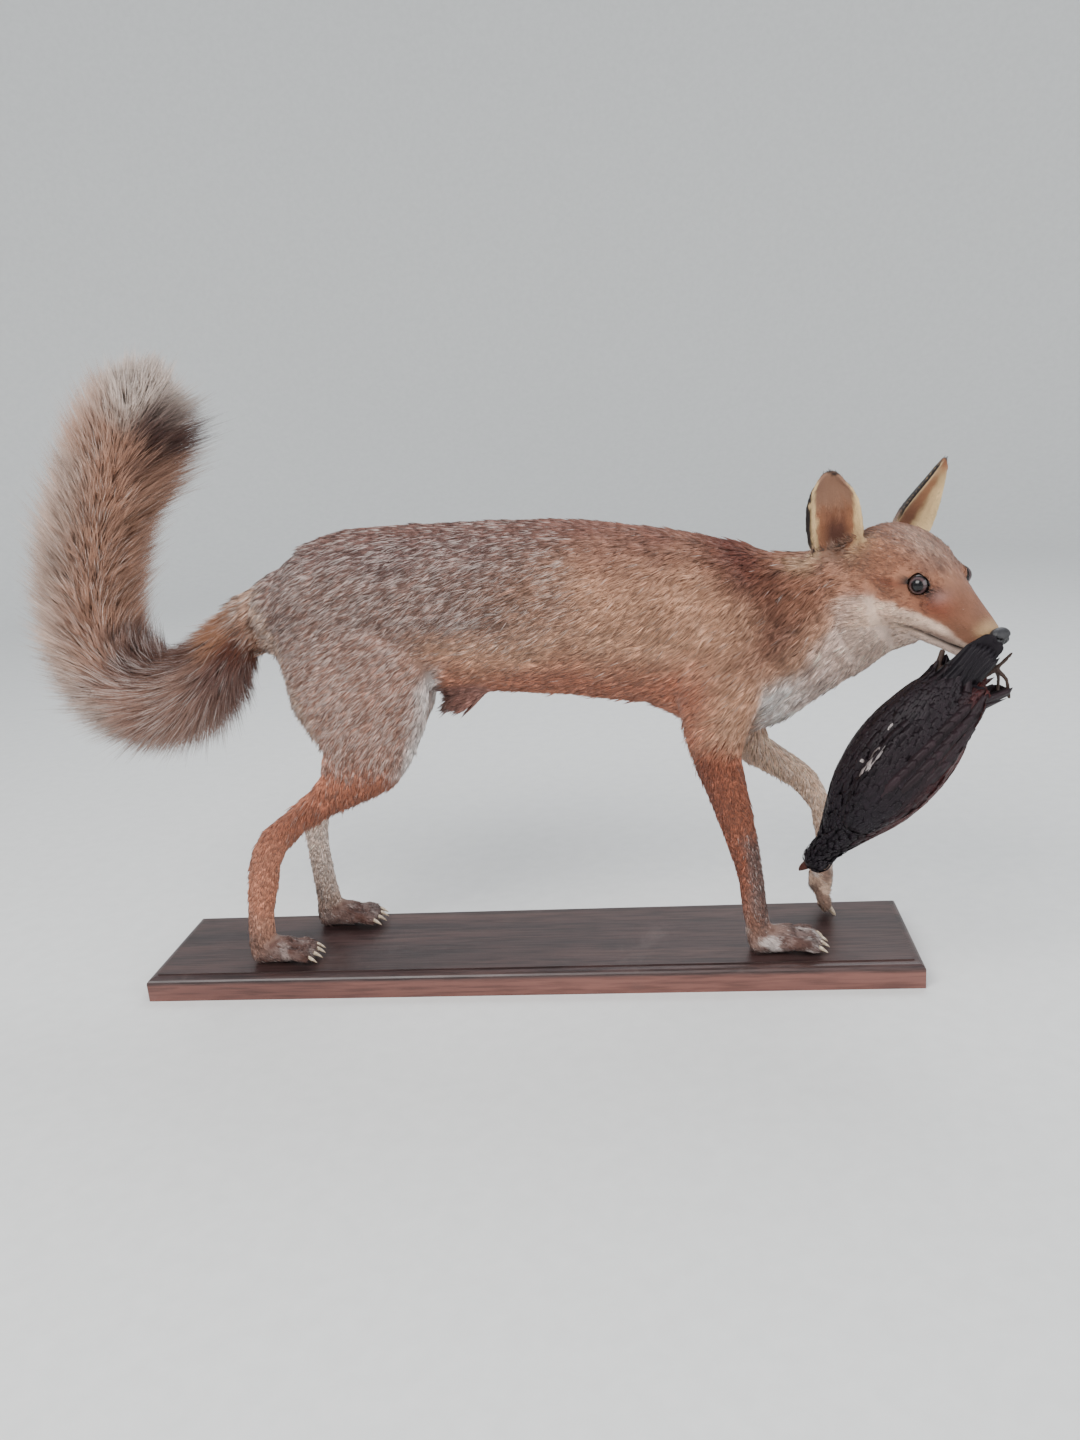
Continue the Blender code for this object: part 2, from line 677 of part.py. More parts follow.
# ---- cuts and names -----------------------------------------------------------------------
# each thin cut: a point on it, the way it faces, its radius
CUTS = [
    ((0.238, 0.0, 0.295), (1.0, -0.08, 0.22), 0.100),
    ((0.292, -0.012, 0.310), (0.86, -0.42, -0.08), 0.090),
    ((0.100, 0.0, 0.320), (1.0, 0.0, 0.0), 0.110),
    ((-0.030, 0.0, 0.330), (1.0, 0.0, 0.0), 0.090),
    ((-0.216, 0.004, 0.331), (-0.97, 0.0, -0.25), 0.050),
    ((-0.300, 0.004, 0.268), (-1.0, 0.0, -0.10), 0.070),
    ((-0.361, 0.004, 0.330), (0.03, 0.0, 1.0), 0.075),
    ((-0.330, 0.004, 0.446), (0.42, 0.0, 0.90), 0.075),
    ((-0.122, 0.004, 0.230), (0.05, 0.0, 1.0), 0.092),
    ((0.178, -0.036, 0.206), (-0.20, 0.0, 1.0), 0.036),
    ((0.206, 0.036, 0.200), (0.80, 0.0, -0.75), 0.030),
    ((-0.200, -0.034, 0.153), (-0.75, 0.0, -0.66), 0.026),
    ((-0.194, 0.038, 0.157), (-0.75, 0.0, -0.66), 0.026),
    ((-0.2375, -0.034, 0.050), (0.10, 0.0, 1.0), 0.024),
    ((-0.1985, 0.038, 0.050), (0.10, 0.0, 1.0), 0.024),
    ((0.2058, -0.034, 0.048), (0.05, 0.0, 1.0), 0.024),
    ((0.2715, 0.034, 0.094), (0.0, 0.0, 1.0), 0.024),
]

# a point near the middle of each piece the cuts leave
PIECES = {
    "head": (0.335, -0.040, 0.325),
    "neck": (0.262, -0.005, 0.306),
    "trunk_chest": (0.165, 0.002, 0.306),
    "trunk_loin": (0.035, 0.002, 0.332),
    "trunk_rump": (-0.110, 0.004, 0.334),
    "tail_root": (-0.255, 0.004, 0.292),
    "tail_bend": (-0.345, 0.004, 0.285),
    "tail_middle": (-0.350, 0.004, 0.395),
    "tail_tip": (-0.300, 0.004, 0.495),
    "right_thigh": (-0.125, -0.036, 0.205),
    "left_thigh": (-0.125, 0.036, 0.205),
    "right_hind_shank": (-0.222, -0.036, 0.105),
    "left_hind_shank": (-0.195, 0.036, 0.105),
    "right_hind_paw": (-0.215, -0.036, 0.034),
    "left_hind_paw": (-0.178, 0.036, 0.034),
    "right_forearm": (0.187, -0.034, 0.130),
    "left_forearm": (0.240, 0.034, 0.160),
    "right_fore_paw": (0.232, -0.034, 0.033),
    "left_fore_paw": (0.270, 0.034, 0.055),
}


def flatten_soles(mesh):
    """Cuts off what would reach below the board's top, and closes the soles."""
    work = bmesh.new()
    work.from_mesh(mesh)
    geometry = work.verts[:] + work.edges[:] + work.faces[:]
    cut = bmesh.ops.bisect_plane(
        work,
        geom=geometry,
        dist=1e-6,
        plane_co=(0, 0, SOLE_LEVEL),
        plane_no=(0, 0, -1),
        clear_outer=True,
    )
    rim = [e for e in cut["geom_cut"] if isinstance(e, bmesh.types.BMEdge)]
    bmesh.ops.contextual_create(work, geom=rim)
    bmesh.ops.holes_fill(work, edges=work.edges[:], sides=0)
    bmesh.ops.triangulate(work, faces=work.faces[:])
    return mesh_of("flesh", work)


def main():
    for obj in list(bpy.data.objects):
        bpy.data.objects.remove(obj)
    red = finish("coat_red", COAT_RED, 0.75)
    pale = finish("coat_pale", COAT_PALE, 0.8)
    wood = finish("board_wood", BOARD_BROWN, 0.45)
    dark = finish("bird_feathers", FEATHER_SLATE, 0.6)
    glass = finish("eye_glass", GLASS_BROWN, 0.05)
    leather = finish("nose_leather", NOSE_BLACK, 0.4)

    add("base_board", board_mesh(), wood)

    place = head_place()
    lofts = [
        *trunk_lofts(),
        *hind_leg(-1, 0.0, 0.0, 0.0),
        *hind_leg(1, 0.0190, 0.0420, 0.0035),
        *right_fore_leg(),
        *left_fore_leg(),
        loft("tail", TAIL_ROWS, sides=24),
        *head_lofts(place),
    ]
    fine_spots = [
        (HEAD_AT, 0.095),
        ((-0.215, -0.034, 0.034), 0.045),
        ((-0.180, 0.038, 0.034), 0.045),
        ((0.230, -0.034, 0.034), 0.045),
        ((0.270, 0.034, 0.045), 0.040),
    ]
    flesh = fused("flesh", lofts, FLESH_VOXEL, FLESH_TRIANGLES, 5, fine_spots)
    flesh = flatten_soles(flesh)
    eyes = {}
    for side, word in ((-1, "right"), (1, "left")):
        centre = (EYE_AT[0], side * EYE_AT[1], EYE_AT[2])
        radius = EYE_RADIUS / HEAD_SIZE
        eyes[f"{word}_eye"] = ball("eye", centre, (radius,) * 3, place)
    flesh = carved(flesh, *eyes.values())
    jaw = carved(jaw_mesh(place), flesh)
    nose = ball("nose", NOSE_AT, NOSE_HALF, place)
    nose = carved(nose, flesh)
    ears = {"right_ear": carved(ear_mesh(-1, place), flesh), "left_ear": carved(ear_mesh(1, place), flesh)}
    bird = carved(bird_mesh(), flesh, jaw, nose)

    for centre, normal, radius in CUTS:
        flesh = less(flesh, thin_disc(centre, normal, radius))
    for centre, mesh in bodies_of(flesh):
        name = min(PIECES, key=lambda n: (Vector(PIECES[n]) - centre).length)
        add(name, mesh, pale if "paw" in name else red)
    for name, mesh in eyes.items():
        add(name, mesh, glass)
    for name, mesh in ears.items():
        add(name, biggest(mesh), red)
    add("lower_jaw", biggest(jaw), pale)
    add("nose_pad", biggest(nose), leather)
    add("moorhen", biggest(bird), dark)


main()
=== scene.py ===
# %% [markdown]
# # A mounted red fox with a moorhen in its jaws
# An old taxidermy mount: a walking fox on a dark moulded board, its tail swept up behind it. The
# solids of the CAD part give every outline. This lesson grows a skin and a coat inside them.
# Everything is in metres, with +X the way the fox faces, +Y its left and +Z up.

import math

import bmesh
import bpy
import numpy as np
from mathutils import Matrix, Vector
from mathutils.bvhtree import BVHTree
from mathutils.kdtree import KDTree


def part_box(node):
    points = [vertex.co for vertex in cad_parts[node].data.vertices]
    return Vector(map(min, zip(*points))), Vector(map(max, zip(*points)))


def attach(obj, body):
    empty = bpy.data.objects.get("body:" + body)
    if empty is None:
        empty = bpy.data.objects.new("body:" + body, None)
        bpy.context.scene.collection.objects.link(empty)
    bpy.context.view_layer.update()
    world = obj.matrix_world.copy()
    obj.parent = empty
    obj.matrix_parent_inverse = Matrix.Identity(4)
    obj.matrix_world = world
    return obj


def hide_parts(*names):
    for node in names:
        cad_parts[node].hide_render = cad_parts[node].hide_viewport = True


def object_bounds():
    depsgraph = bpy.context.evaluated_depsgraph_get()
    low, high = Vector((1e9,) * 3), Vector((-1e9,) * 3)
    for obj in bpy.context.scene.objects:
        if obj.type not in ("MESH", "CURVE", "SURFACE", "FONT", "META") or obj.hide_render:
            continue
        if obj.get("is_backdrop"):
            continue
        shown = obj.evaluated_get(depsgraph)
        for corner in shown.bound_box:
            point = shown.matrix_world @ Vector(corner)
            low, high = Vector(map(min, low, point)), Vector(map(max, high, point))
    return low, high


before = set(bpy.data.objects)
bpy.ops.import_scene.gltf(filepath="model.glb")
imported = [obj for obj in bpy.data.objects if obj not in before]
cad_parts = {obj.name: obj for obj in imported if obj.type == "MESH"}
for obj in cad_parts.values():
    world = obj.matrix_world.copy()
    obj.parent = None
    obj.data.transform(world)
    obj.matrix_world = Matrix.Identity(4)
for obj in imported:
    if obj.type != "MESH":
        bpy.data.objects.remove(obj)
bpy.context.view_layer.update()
SEED = 7
rng = np.random.default_rng(SEED)

# %% [markdown]
# ## The camera
# A mount like this is looked at from its side, standing, a little above its back. The camera
# stands about 0.9 m off, level with the hips of a viewer, tipped down and very slightly rolled.
# A matrix built from those three angles is exact, where tracking an empty would lose the roll.

# %% Camera
CAMERA_AT = Vector((0.141, -0.909, 0.4862))
CAMERA_DOWN, CAMERA_ASIDE, CAMERA_ROLL = (math.radians(a) for a in (15.667, 7.112, 4.626))
LENS_MM, SENSOR_MM = 27.5, 36.0


def aimed_camera():
    flat, drop = math.cos(CAMERA_DOWN), math.sin(CAMERA_DOWN)
    forward = Vector((-math.sin(CAMERA_ASIDE) * flat, math.cos(CAMERA_ASIDE) * flat, -drop))
    level = Vector((math.cos(CAMERA_ASIDE), math.sin(CAMERA_ASIDE), 0.0))
    upright = level.cross(forward)
    right = level * math.cos(CAMERA_ROLL) - upright * math.sin(CAMERA_ROLL)
    up = right.cross(forward)
    turn = Matrix((right, up, -forward)).transposed().to_4x4()
    data = bpy.data.cameras.new("camera")
    data.lens, data.sensor_width = LENS_MM, SENSOR_MM
    made = bpy.data.objects.new("camera", data)
    made.matrix_world = Matrix.Translation(CAMERA_AT) @ turn
    bpy.context.scene.collection.objects.link(made)
    return made


camera = bpy.context.scene.camera = aimed_camera()
print("camera looks along", [round(x, 3) for x in -camera.matrix_world.col[2].xyz])

# %% [markdown]
# ## Soft steps and everyday colours
# Markings on a coat never end in a hard line, so the rules below are written with steps that rise
# softly from 0 to 1. Colours are noted in everyday 0 to 255 numbers, easy to judge by eye, and
# turned into the linear light that shaders reckon in.


# %% Soft steps and colours
def smooth_step(low, high, x):
    """0 below low and 1 above high, or the other way round, with soft ends."""
    t = np.clip((x - low) / (high - low), 0.0, 1.0)
    return t * t * (3 - 2 * t)


def band(x, low, high, soft):
    """1 between low and high, falling to 0 over soft outside them."""
    return smooth_step(low - soft, low, x) * smooth_step(high + soft, high, x)


def linear(red, green, blue):
    """A colour named in everyday 0 to 255 numbers, as the linear light that shaders work in."""
    shares = (c / 255 for c in (red, green, blue))
    return tuple(((s + 0.055) / 1.055) ** 2.4 if s > 0.04 else s / 12.92 for s in shares)


print("mid grey is", round(linear(128, 128, 128)[0], 3), "in linear light")

# %% [markdown]
# ## Floor
# The floor is plain and pale, and its edge curves up as in a photographer's cove, so that no
# horizon cuts through the legs. A disc of rings is simpler than a swept sheet, and it looks the
# same from every side.


# %% Floor
def cove():
    """A flat disc whose edge curves up into a wall all round: a plain ground from every side."""
    flat, bend, height, sides = 2.6, 1.0, 2.4, 96
    path = [(0.6, 0.0), (flat, 0.0)]
    for turn in np.linspace(0, math.pi / 2, 17)[1:]:
        path.append((flat + bend * math.sin(turn), bend - bend * math.cos(turn)))
    path.append((flat + bend, height))
    work = bmesh.new()
    turns = np.linspace(0, 2 * math.pi, sides, endpoint=False)
    rows = [
        [work.verts.new((reach * math.cos(t), reach * math.sin(t), rise)) for t in turns]
        for reach, rise in path
    ]
    work.faces.new(rows[0])
    for one, two in zip(rows, rows[1:]):
        for j in range(sides):
            work.faces.new((one[j], two[j], two[(j + 1) % sides], one[(j + 1) % sides]))
    mesh = bpy.data.meshes.new("floor")
    work.to_mesh(mesh)
    work.free()
    mesh.shade_smooth()
    made = bpy.data.objects.new("floor", mesh)
    bpy.context.scene.collection.objects.link(made)
    return made


floor = cove()
floor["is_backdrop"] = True
print("floor has", len(floor.data.polygons), "faces")

# %% [markdown]
# ## Light
# Fur shows its lie only in light that comes from one side, so a broad soft lamp stands high at the
# viewer's left, and a weaker one fills from the right. A third, behind, draws the edge of the coat,
# and an even sky lifts the shadows.


# %% Lamps and sky
def lamp(name, place, target, size, power, colour):
    data = bpy.data.lights.new(name, "AREA")
    data.shape, data.size, data.size_y = "RECTANGLE", size[0], size[1]
    data.energy, data.color = power, colour
    made = bpy.data.objects.new(name, data)
    made.location = place
    made.rotation_euler = (Vector(target) - Vector(place)).to_track_quat("-Z", "Y").to_euler()
    bpy.context.scene.collection.objects.link(made)


lamp("key", (-0.9, -1.5, 1.9), (0, 0, 0.25), (1.6, 1.2), 58, (1.0, 0.985, 0.96))
lamp("fill", (1.6, -1.2, 1.0), (0, 0, 0.25), (1.4, 1.4), 20, (0.94, 0.97, 1.0))
lamp("back", (0.5, 1.0, 1.7), (0, 0, 0.3), (1.2, 0.8), 14, (0.95, 0.97, 1.0))
world = bpy.data.worlds.new("sky")
world.use_nodes = True
sky = world.node_tree.nodes["Background"].inputs
sky["Color"].default_value, sky["Strength"].default_value = (0.86, 0.92, 1.0, 1.0), 0.75
bpy.context.scene.world = world

# %% [markdown]
# ## Making materials by nodes
# Every finish here is built from shader nodes, so it needs no pictures. A small class keeps the
# cells short: it adds a node with its settings in one call and joins sockets by name.


# %% A short way to write node trees
class Finish:
    """A material under construction. Sockets are reached as (node, "Socket")."""

    def __init__(self, name, roughness=0.6):
        self.made = bpy.data.materials.new(name)
        self.made.use_nodes = True
        self.tree = self.made.node_tree
        self.shader = self.tree.nodes["Principled BSDF"]
        self.set("Roughness", roughness)

    def set(self, socket, value):
        self.shader.inputs[socket].default_value = value

    def feed(self, socket, value):
        """Links a (node, output) pair into a socket, or sets the socket to a plain value."""
        if isinstance(value, tuple) and isinstance(value[0], bpy.types.Node):
            self.tree.links.new(value[0].outputs[value[1]], socket)
        else:
            socket.default_value = value

    def node(self, kind, inputs=(), **settings):
        made = self.tree.nodes.new("ShaderNode" + kind)
        for key, value in settings.items():
            setattr(made, key, value)
        for key, value in dict(inputs).items():
            self.feed(made.inputs[key], value)
        return made

    def link(self, node, output, socket):
        self.tree.links.new(node.outputs[output], self.shader.inputs[socket])

    def noise(self, scale, detail=3.0, stretch=None, source=None, rough=0.55):
        """Noise over object space, or over a source node's vector, squeezed by stretch."""
        vector = source or (self.node("TexCoord"), "Object")
        if stretch:
            squeezed = self.node("Mapping", {"Vector": vector, "Scale": stretch})
            vector = (squeezed, "Vector")
        return self.node(
            "TexNoise", {"Vector": vector, "Scale": scale, "Detail": detail, "Roughness": rough}
        )

    def ramp(self, source, output, stops):
        """A colour ramp through (place, colour) stops, driven by a node's output."""
        made = self.node("ValToRGB")
        self.tree.links.new(source.outputs[output], made.inputs["Fac"])
        points = made.color_ramp.elements
        while len(points) < len(stops):
            points.new(0.5)
        for point, (place, colour) in zip(points, stops):
            point.position = place
            point.color = (*colour, 1.0)
        return made

    def mix(self, factor, one, two, blend="MIX"):
        """Mixes two colours. Each is a colour or a (node, output) pair, and so may factor be."""
        made = self.node("Mix", data_type="RGBA", blend_type=blend)
        self.feed(made.inputs[0], factor)
        for place, colour in ((6, one), (7, two)):
            self.feed(made.inputs[place], colour if len(colour) == 2 else (*colour, 1.0))
        return made

    def bump(self, source, output, strength, distance):
        height = (source, output)
        made = self.node("Bump", {"Strength": strength, "Distance": distance, "Height": height})
        self.link(made, "Normal", "Normal")

    def roughen(self, source, output, low, high):
        """Lets a node's output from 0 to 1 set the roughness from low to high."""
        values = {"Value": (source, output), "To Min": low, "To Max": high}
        self.link(self.node("MapRange", values), "Result", "Roughness")

    def streaked(self, noise, stops):
        """The colour stored on the vertices, and that colour toned by a ramp through noise."""
        colour = (self.node("Attribute", attribute_name="coat"), "Color")
        tone = (self.ramp(noise, "Fac", stops), "Color")
        return colour, self.mix(1.0, colour, tone, "MULTIPLY")


MIXED = 2  # the colour output of a Mix node that works on colours
print("tools of a finish:", [name for name in vars(Finish) if name[0] != "_"])

# %% [markdown]
# The floor has the simplest finish of all: two nearly equal greys through fine noise, because a
# perfectly even colour looks false in soft light.

# %% Floor paper
pale = Finish("floor_paper", 0.9)
grain = pale.noise(60, 2)
tone = pale.ramp(grain, "Fac", [(0.3, linear(226, 226, 224)), (0.7, linear(231, 231, 229))])
pale.link(tone, "Color", "Base Color")
floor.data.materials.append(pale.made)
print("floor finish has", len(pale.tree.nodes), "nodes")

# %% [markdown]
# ## The board
# The board is dark stained softwood, varnished to a dull gloss, with a step and a quarter round
# worked along its top edges. Grain runs along its length, so the noise is squeezed hard in X. Its
# sides, below a set height, take a lighter and redder tone than the top, pale scuffs of dust lie
# over it, and a light rounding of the corners by a bevel catches the highlights that tell the eye
# it is a real edge.


# %% Stained wood
def board_finish():
    wood = Finish("stained_wood", 0.38)
    place = wood.node("TexCoord")
    fibre = wood.noise(26, 5, (0.9, 14, 14))
    rings = wood.noise(5, 3, (0.55, 7, 9))
    browns = (linear(50, 36, 36), linear(66, 47, 45), linear(84, 60, 55))
    stain = wood.ramp(rings, "Fac", list(zip((0.30, 0.52, 0.75), browns)))
    pores = wood.ramp(fibre, "Fac", [(0.36, (0.35, 0.33, 0.33)), (0.56, (1.0, 1.0, 1.0))])
    top = wood.mix(0.85, (stain, "Color"), (pores, "Color"), "MULTIPLY")
    side_tone = wood.ramp(rings, "Fac", [(0.3, linear(98, 62, 56)), (0.7, linear(134, 88, 78))])
    side = wood.mix(0.6, (side_tone, "Color"), (pores, "Color"), "MULTIPLY")
    height = wood.node("SeparateXYZ", {"Vector": (place, "Object")})
    low = wood.node("MapRange", {"Value": (height, "Z"), "From Min": 0.0145, "From Max": 0.0175})
    body = wood.mix((low, "Result"), (side, MIXED), (top, MIXED))
    scuff = wood.noise(14, 6, rough=0.7)
    worn = wood.ramp(scuff, "Fac", [(0.60, (0, 0, 0)), (0.80, (0.25, 0.25, 0.25))])
    dust = wood.mix((worn, "Color"), (body, MIXED), linear(128, 112, 108))
    wood.link(dust, MIXED, "Base Color")
    wood.roughen(scuff, "Fac", 0.24, 0.52)
    wood.bump(fibre, "Fac", 0.22, 0.0006)
    return wood.made


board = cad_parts["base_board"]
board.data.materials.clear()
board.data.materials.append(board_finish())
rounded = board.modifiers.new("worn edges", "BEVEL")
rounded.width, rounded.segments, rounded.limit_method = 0.0007, 2, "ANGLE"
print("board is", [round(1000 * d) for d in board.dimensions], "mm")

# %% [markdown]
# ## One skin under the whole coat
# The CAD flesh comes in 22 pieces, parted by hairline cuts. A real pelt is one hide. So each
# solid is swollen by a fraction of a millimetre until it meets its neighbours, and a voxel remesh
# then draws a single surface round them all. Decimating it keeps faces where the form bends.

# %% What is flesh, and how a modifier is applied
NOT_FLESH = ("base_board", "moorhen", "left_eye", "right_eye", "nose_pad")
FLESH = sorted(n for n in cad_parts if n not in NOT_FLESH)
SWELL = 0.0004
SKIN_VOXEL = 0.0014
SKIN_TRIANGLES = 118_000


def add_object(name, mesh, material=None):
    made = bpy.data.objects.new(name, mesh)
    bpy.context.scene.collection.objects.link(made)
    if material:
        mesh.materials.clear()
        mesh.materials.append(material)
    return made


def applied(obj):
    """A new mesh with the object's modifiers applied. The object itself is removed."""
    bpy.context.view_layer.update()
    graph = bpy.context.evaluated_depsgraph_get()
    mesh = bpy.data.meshes.new_from_object(obj.evaluated_get(graph))
    bpy.data.objects.remove(obj)
    return mesh


print("flesh comes in", len(FLESH), "pieces")

# %% [markdown]
# The swelling is done on copies of the meshes, point by point along the normals, so that the CAD
# itself stays as it is. Remeshing and thinning are modifiers, applied as soon as they are set.


# %% Join and remesh the flesh
def swollen_join(names, by):
    work = bmesh.new()
    for name in names:
        part = bmesh.new()
        part.from_mesh(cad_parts[name].data)
        bmesh.ops.remove_doubles(part, verts=part.verts, dist=1e-6)
        part.normal_update()
        for vertex in part.verts:
            vertex.co += vertex.normal * by
        mesh = bpy.data.meshes.new(name)
        part.to_mesh(mesh)
        part.free()
        work.from_mesh(mesh)
    joined = bpy.data.meshes.new("flesh")
    work.to_mesh(joined)
    work.free()
    return joined


def remeshed(joined, voxel):
    lump = add_object("lump", joined)
    shell = lump.modifiers.new("one skin", "REMESH")
    shell.mode, shell.voxel_size = "VOXEL", voxel
    return applied(lump)


def thinned(mesh, triangles):
    lump = add_object("lump", mesh)
    thin = lump.modifiers.new("thin", "DECIMATE")
    thin.ratio = min(1.0, triangles / (2 * len(mesh.polygons)))
    thin.use_collapse_triangulate = True
    return applied(lump)


hide = remeshed(swollen_join(FLESH, SWELL), SKIN_VOXEL)
print("hide:", len(hide.vertices), "vertices before it is smoothed and thinned")

# %% [markdown]
# ## The head's own frame
# The head is turned towards the viewer, so its features are easiest to place in a frame of its
# own: X from between the eyes to the nose, Y to the fox's left and Z up, at the size of an adult
# head. The same turn and scale as the solids use take a point there and back.

# %% Head frame and the eyes' own axes
HEAD_AT = np.array((0.3500, -0.053, 0.3405))
HEAD_SIZE = 0.92
HEAD_TURN = np.array(
    Matrix.Rotation(math.radians(-58), 3, "Z")
    @ Matrix.Rotation(math.radians(12), 3, "Y")
    @ Matrix.Rotation(math.radians(2), 3, "X")
)


def to_head(points):
    return (np.asarray(points) - HEAD_AT) @ HEAD_TURN / HEAD_SIZE


def from_head(points):
    return np.asarray(points) @ HEAD_TURN.T * HEAD_SIZE + HEAD_AT


def centre_of(node):
    low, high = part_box(node)
    return np.array((low + high) / 2)


def unit(vectors):
    vectors = np.asarray(vectors, float)
    length = np.linalg.norm(vectors, axis=-1, keepdims=True)
    return vectors / np.maximum(length, 1e-12)


EYE_RADIUS = 0.0082
EYES = {}
for side, name in ((-1, "right_eye"), (1, "left_eye")):
    gaze = unit(HEAD_TURN @ np.array((0.50, side * 0.84, 0.14)))
    ahead = unit(HEAD_TURN[:, 0] - gaze * (HEAD_TURN[:, 0] @ gaze))
    EYES[name] = (centre_of(name), gaze, ahead, np.cross(gaze, ahead) * -side)
print("eyes at", {n: [round(float(x), 3) for x in e[0]] for n, e in EYES.items()})

# %% [markdown]
# ## Smoothing, but not everywhere alike
# The voxels leave small steps, which a few rounds of averaging between neighbours take away. The
# ears are thin sheets that averaging would wear down, so they get less of it. The slit between the
# jaws gets more, until it closes: the lips are drawn there later, as one fine line.


# %% Averaging between neighbours
def numbers(items, name, width, kind=np.float32):
    found = np.empty(len(items) * width, kind)
    items.foreach_get(name, found)
    return found.reshape(-1, width) if width > 1 else found


class Spreader:
    """Averages values over the vertices' neighbours."""

    def __init__(self, mesh):
        ends = numbers(mesh.edges, "vertices", 2, np.int32)
        both = np.concatenate((ends, ends[:, ::-1]))
        both = both[np.argsort(both[:, 0], kind="stable")]
        self.source = both[:, 1]
        self.first = np.searchsorted(both[:, 0], np.arange(len(mesh.vertices)))
        self.count = np.bincount(both[:, 0], minlength=len(mesh.vertices))[:, None]

    def __call__(self, values, rounds):
        values = np.asarray(values, float)
        flat = values.reshape(len(values), -1)
        for _ in range(rounds):
            flat = 0.5 * flat + 0.5 * np.add.reduceat(flat[self.source], self.first) / self.count
        return flat.reshape(values.shape)


def vertex_normals(mesh):
    return numbers(mesh.vertices, "normal", 3).astype(float)


def put_back(mesh, points):
    mesh.vertices.foreach_set("co", points.astype(np.float32).ravel())
    mesh.update()


print("hide has", len(hide.edges), "edges to average along")

# %% [markdown]
# One pass of averaging moves each point half of the way to the middle of its neighbours. How many
# passes each place gets is the whole control: seven for the body, two for the ears and thirty for
# the slit of the mouth.

# %% Smooth and thin the hide
CALM_ROUNDS, EAR_ROUNDS, JAW_ROUNDS = 7, 2, 30


def settled(mesh):
    """Averages the steps away, lightly on the ears and long between the jaws."""
    points = numbers(mesh.vertices, "co", 3).astype(float)
    spread = Spreader(mesh)
    ear = np.zeros(len(points))
    for name in ("right_ear", "left_ear"):
        low, high = (np.array(corner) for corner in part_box(name))
        rise = smooth_step(low[2] + 0.012, low[2] + 0.022, points[:, 2])
        near = np.linalg.norm((points - (low + high) / 2) / (high - low), axis=1) < 0.95
        ear = np.maximum(ear, rise * near)
    calm = spread(points, CALM_ROUNDS)
    points = calm + (spread(points, EAR_ROUNDS) - calm) * ear[:, None]
    h = to_head(points)
    jaws = band(h[:, 0], -0.020, 0.062, 0.010) * band(h[:, 2], -0.0520, -0.0360, 0.0045)
    jaws = (jaws * smooth_step(0.34, 0.30, points[:, 2]))[:, None]
    for _ in range(JAW_ROUNDS):
        points = points + jaws * (spread(points, 1) - points)
    put_back(mesh, points)
    return mesh


hide = thinned(settled(hide), SKIN_TRIANGLES)
print("hide:", len(hide.vertices), "vertices,", len(hide.polygons), "faces")

# %% [markdown]
# ## More faces where the face needs them
# Lids and lips are about a millimetre thick, finer than the hide's triangles. Cutting the edges in
# two inside a few small balls round the eyes and the mouth gives the detail something to hold on
# to, without paying for it all over the body.


# %% Refine the eyes and the mouth
def refine(mesh, spots):
    """Cuts in two the edges that lie inside any (centre, radius) ball."""
    work = bmesh.new()
    work.from_mesh(mesh)
    place = np.array([v.co for v in work.verts])
    inside = np.zeros(len(place), bool)
    for centre, radius in spots:
        inside |= np.linalg.norm(place - centre, axis=1) < radius
    edges = [e for e in work.edges if inside[e.verts[0].index] and inside[e.verts[1].index]]
    bmesh.ops.subdivide_edges(work, edges=edges, cuts=1, use_grid_fill=True)
    bmesh.ops.triangulate(work, faces=[f for f in work.faces if len(f.verts) > 3])
    work.to_mesh(mesh)
    work.free()


eye_spots = [(centre, 0.0155) for centre, _, _, _ in EYES.values()]
lip_spots = [(from_head((x, 0.0, -0.043)), 0.020) for x in (-0.006, 0.012, 0.030, 0.048)]
refine(hide, eye_spots + lip_spots)
refine(hide, [(centre, 0.0140) for centre, _ in eye_spots])
print("hide refined to", len(hide.polygons), "faces")

# %% [markdown]
# ## Which part of the animal a point belongs to
# Fur is long on the tail, short on the face and almost nothing on the toes, and it must change
# smoothly from one to the next. So each vertex first learns which CAD solid it is nearest to. That
# answer is then passed round between neighbours until it has soft edges, like ink on wet paper.

# %% Regions with soft edges
SOFT_ROUNDS = 45
REGION_OF = {"head": "head", "lower_jaw": "head", "neck": "neck"}
REGION_OF |= {"trunk_" + part: part for part in ("chest", "loin", "rump")}
REGION_OF |= {"tail_" + part: "tail" for part in ("root", "bend", "middle", "tip")}
for side in ("left_", "right_"):
    REGION_OF |= {side + part: part for part in ("thigh", "forearm", "ear")}
    REGION_OF |= {side + "hind_shank": "shank", side + "hind_paw": "paw", side + "fore_paw": "paw"}
REGIONS = ["head", "neck", "chest", "loin", "rump", "tail"]
REGIONS += ["thigh", "shank", "forearm", "paw", "ear"]


def nearest_region(points):
    corners, faces, owner = [], [], []
    for name in FLESH:
        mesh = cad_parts[name].data
        start = len(corners)
        corners += [v.co.copy() for v in mesh.vertices]
        faces += [[start + i for i in p.vertices] for p in mesh.polygons]
        owner += [REGIONS.index(REGION_OF[name])] * len(mesh.polygons)
    tree = BVHTree.FromPolygons(corners, faces)
    return np.array([owner[tree.find_nearest(p)[2]] for p in points.tolist()])


spot = numbers(hide.vertices, "co", 3).astype(float)
spread = Spreader(hide)
share = spread(np.eye(len(REGIONS))[nearest_region(spot)], SOFT_ROUNDS)
print("regions:", {r: int((share.argmax(1) == i).sum()) for i, r in enumerate(REGIONS)})

# %% [markdown]
# ## The tail's axis
# A fox's tail is a slim core, with hair as long as a finger standing out all round it. The solids
# give only the brush's outline. A curve down its middle lets the skin shrink towards the core, and
# tells every hair which way the tip lies.

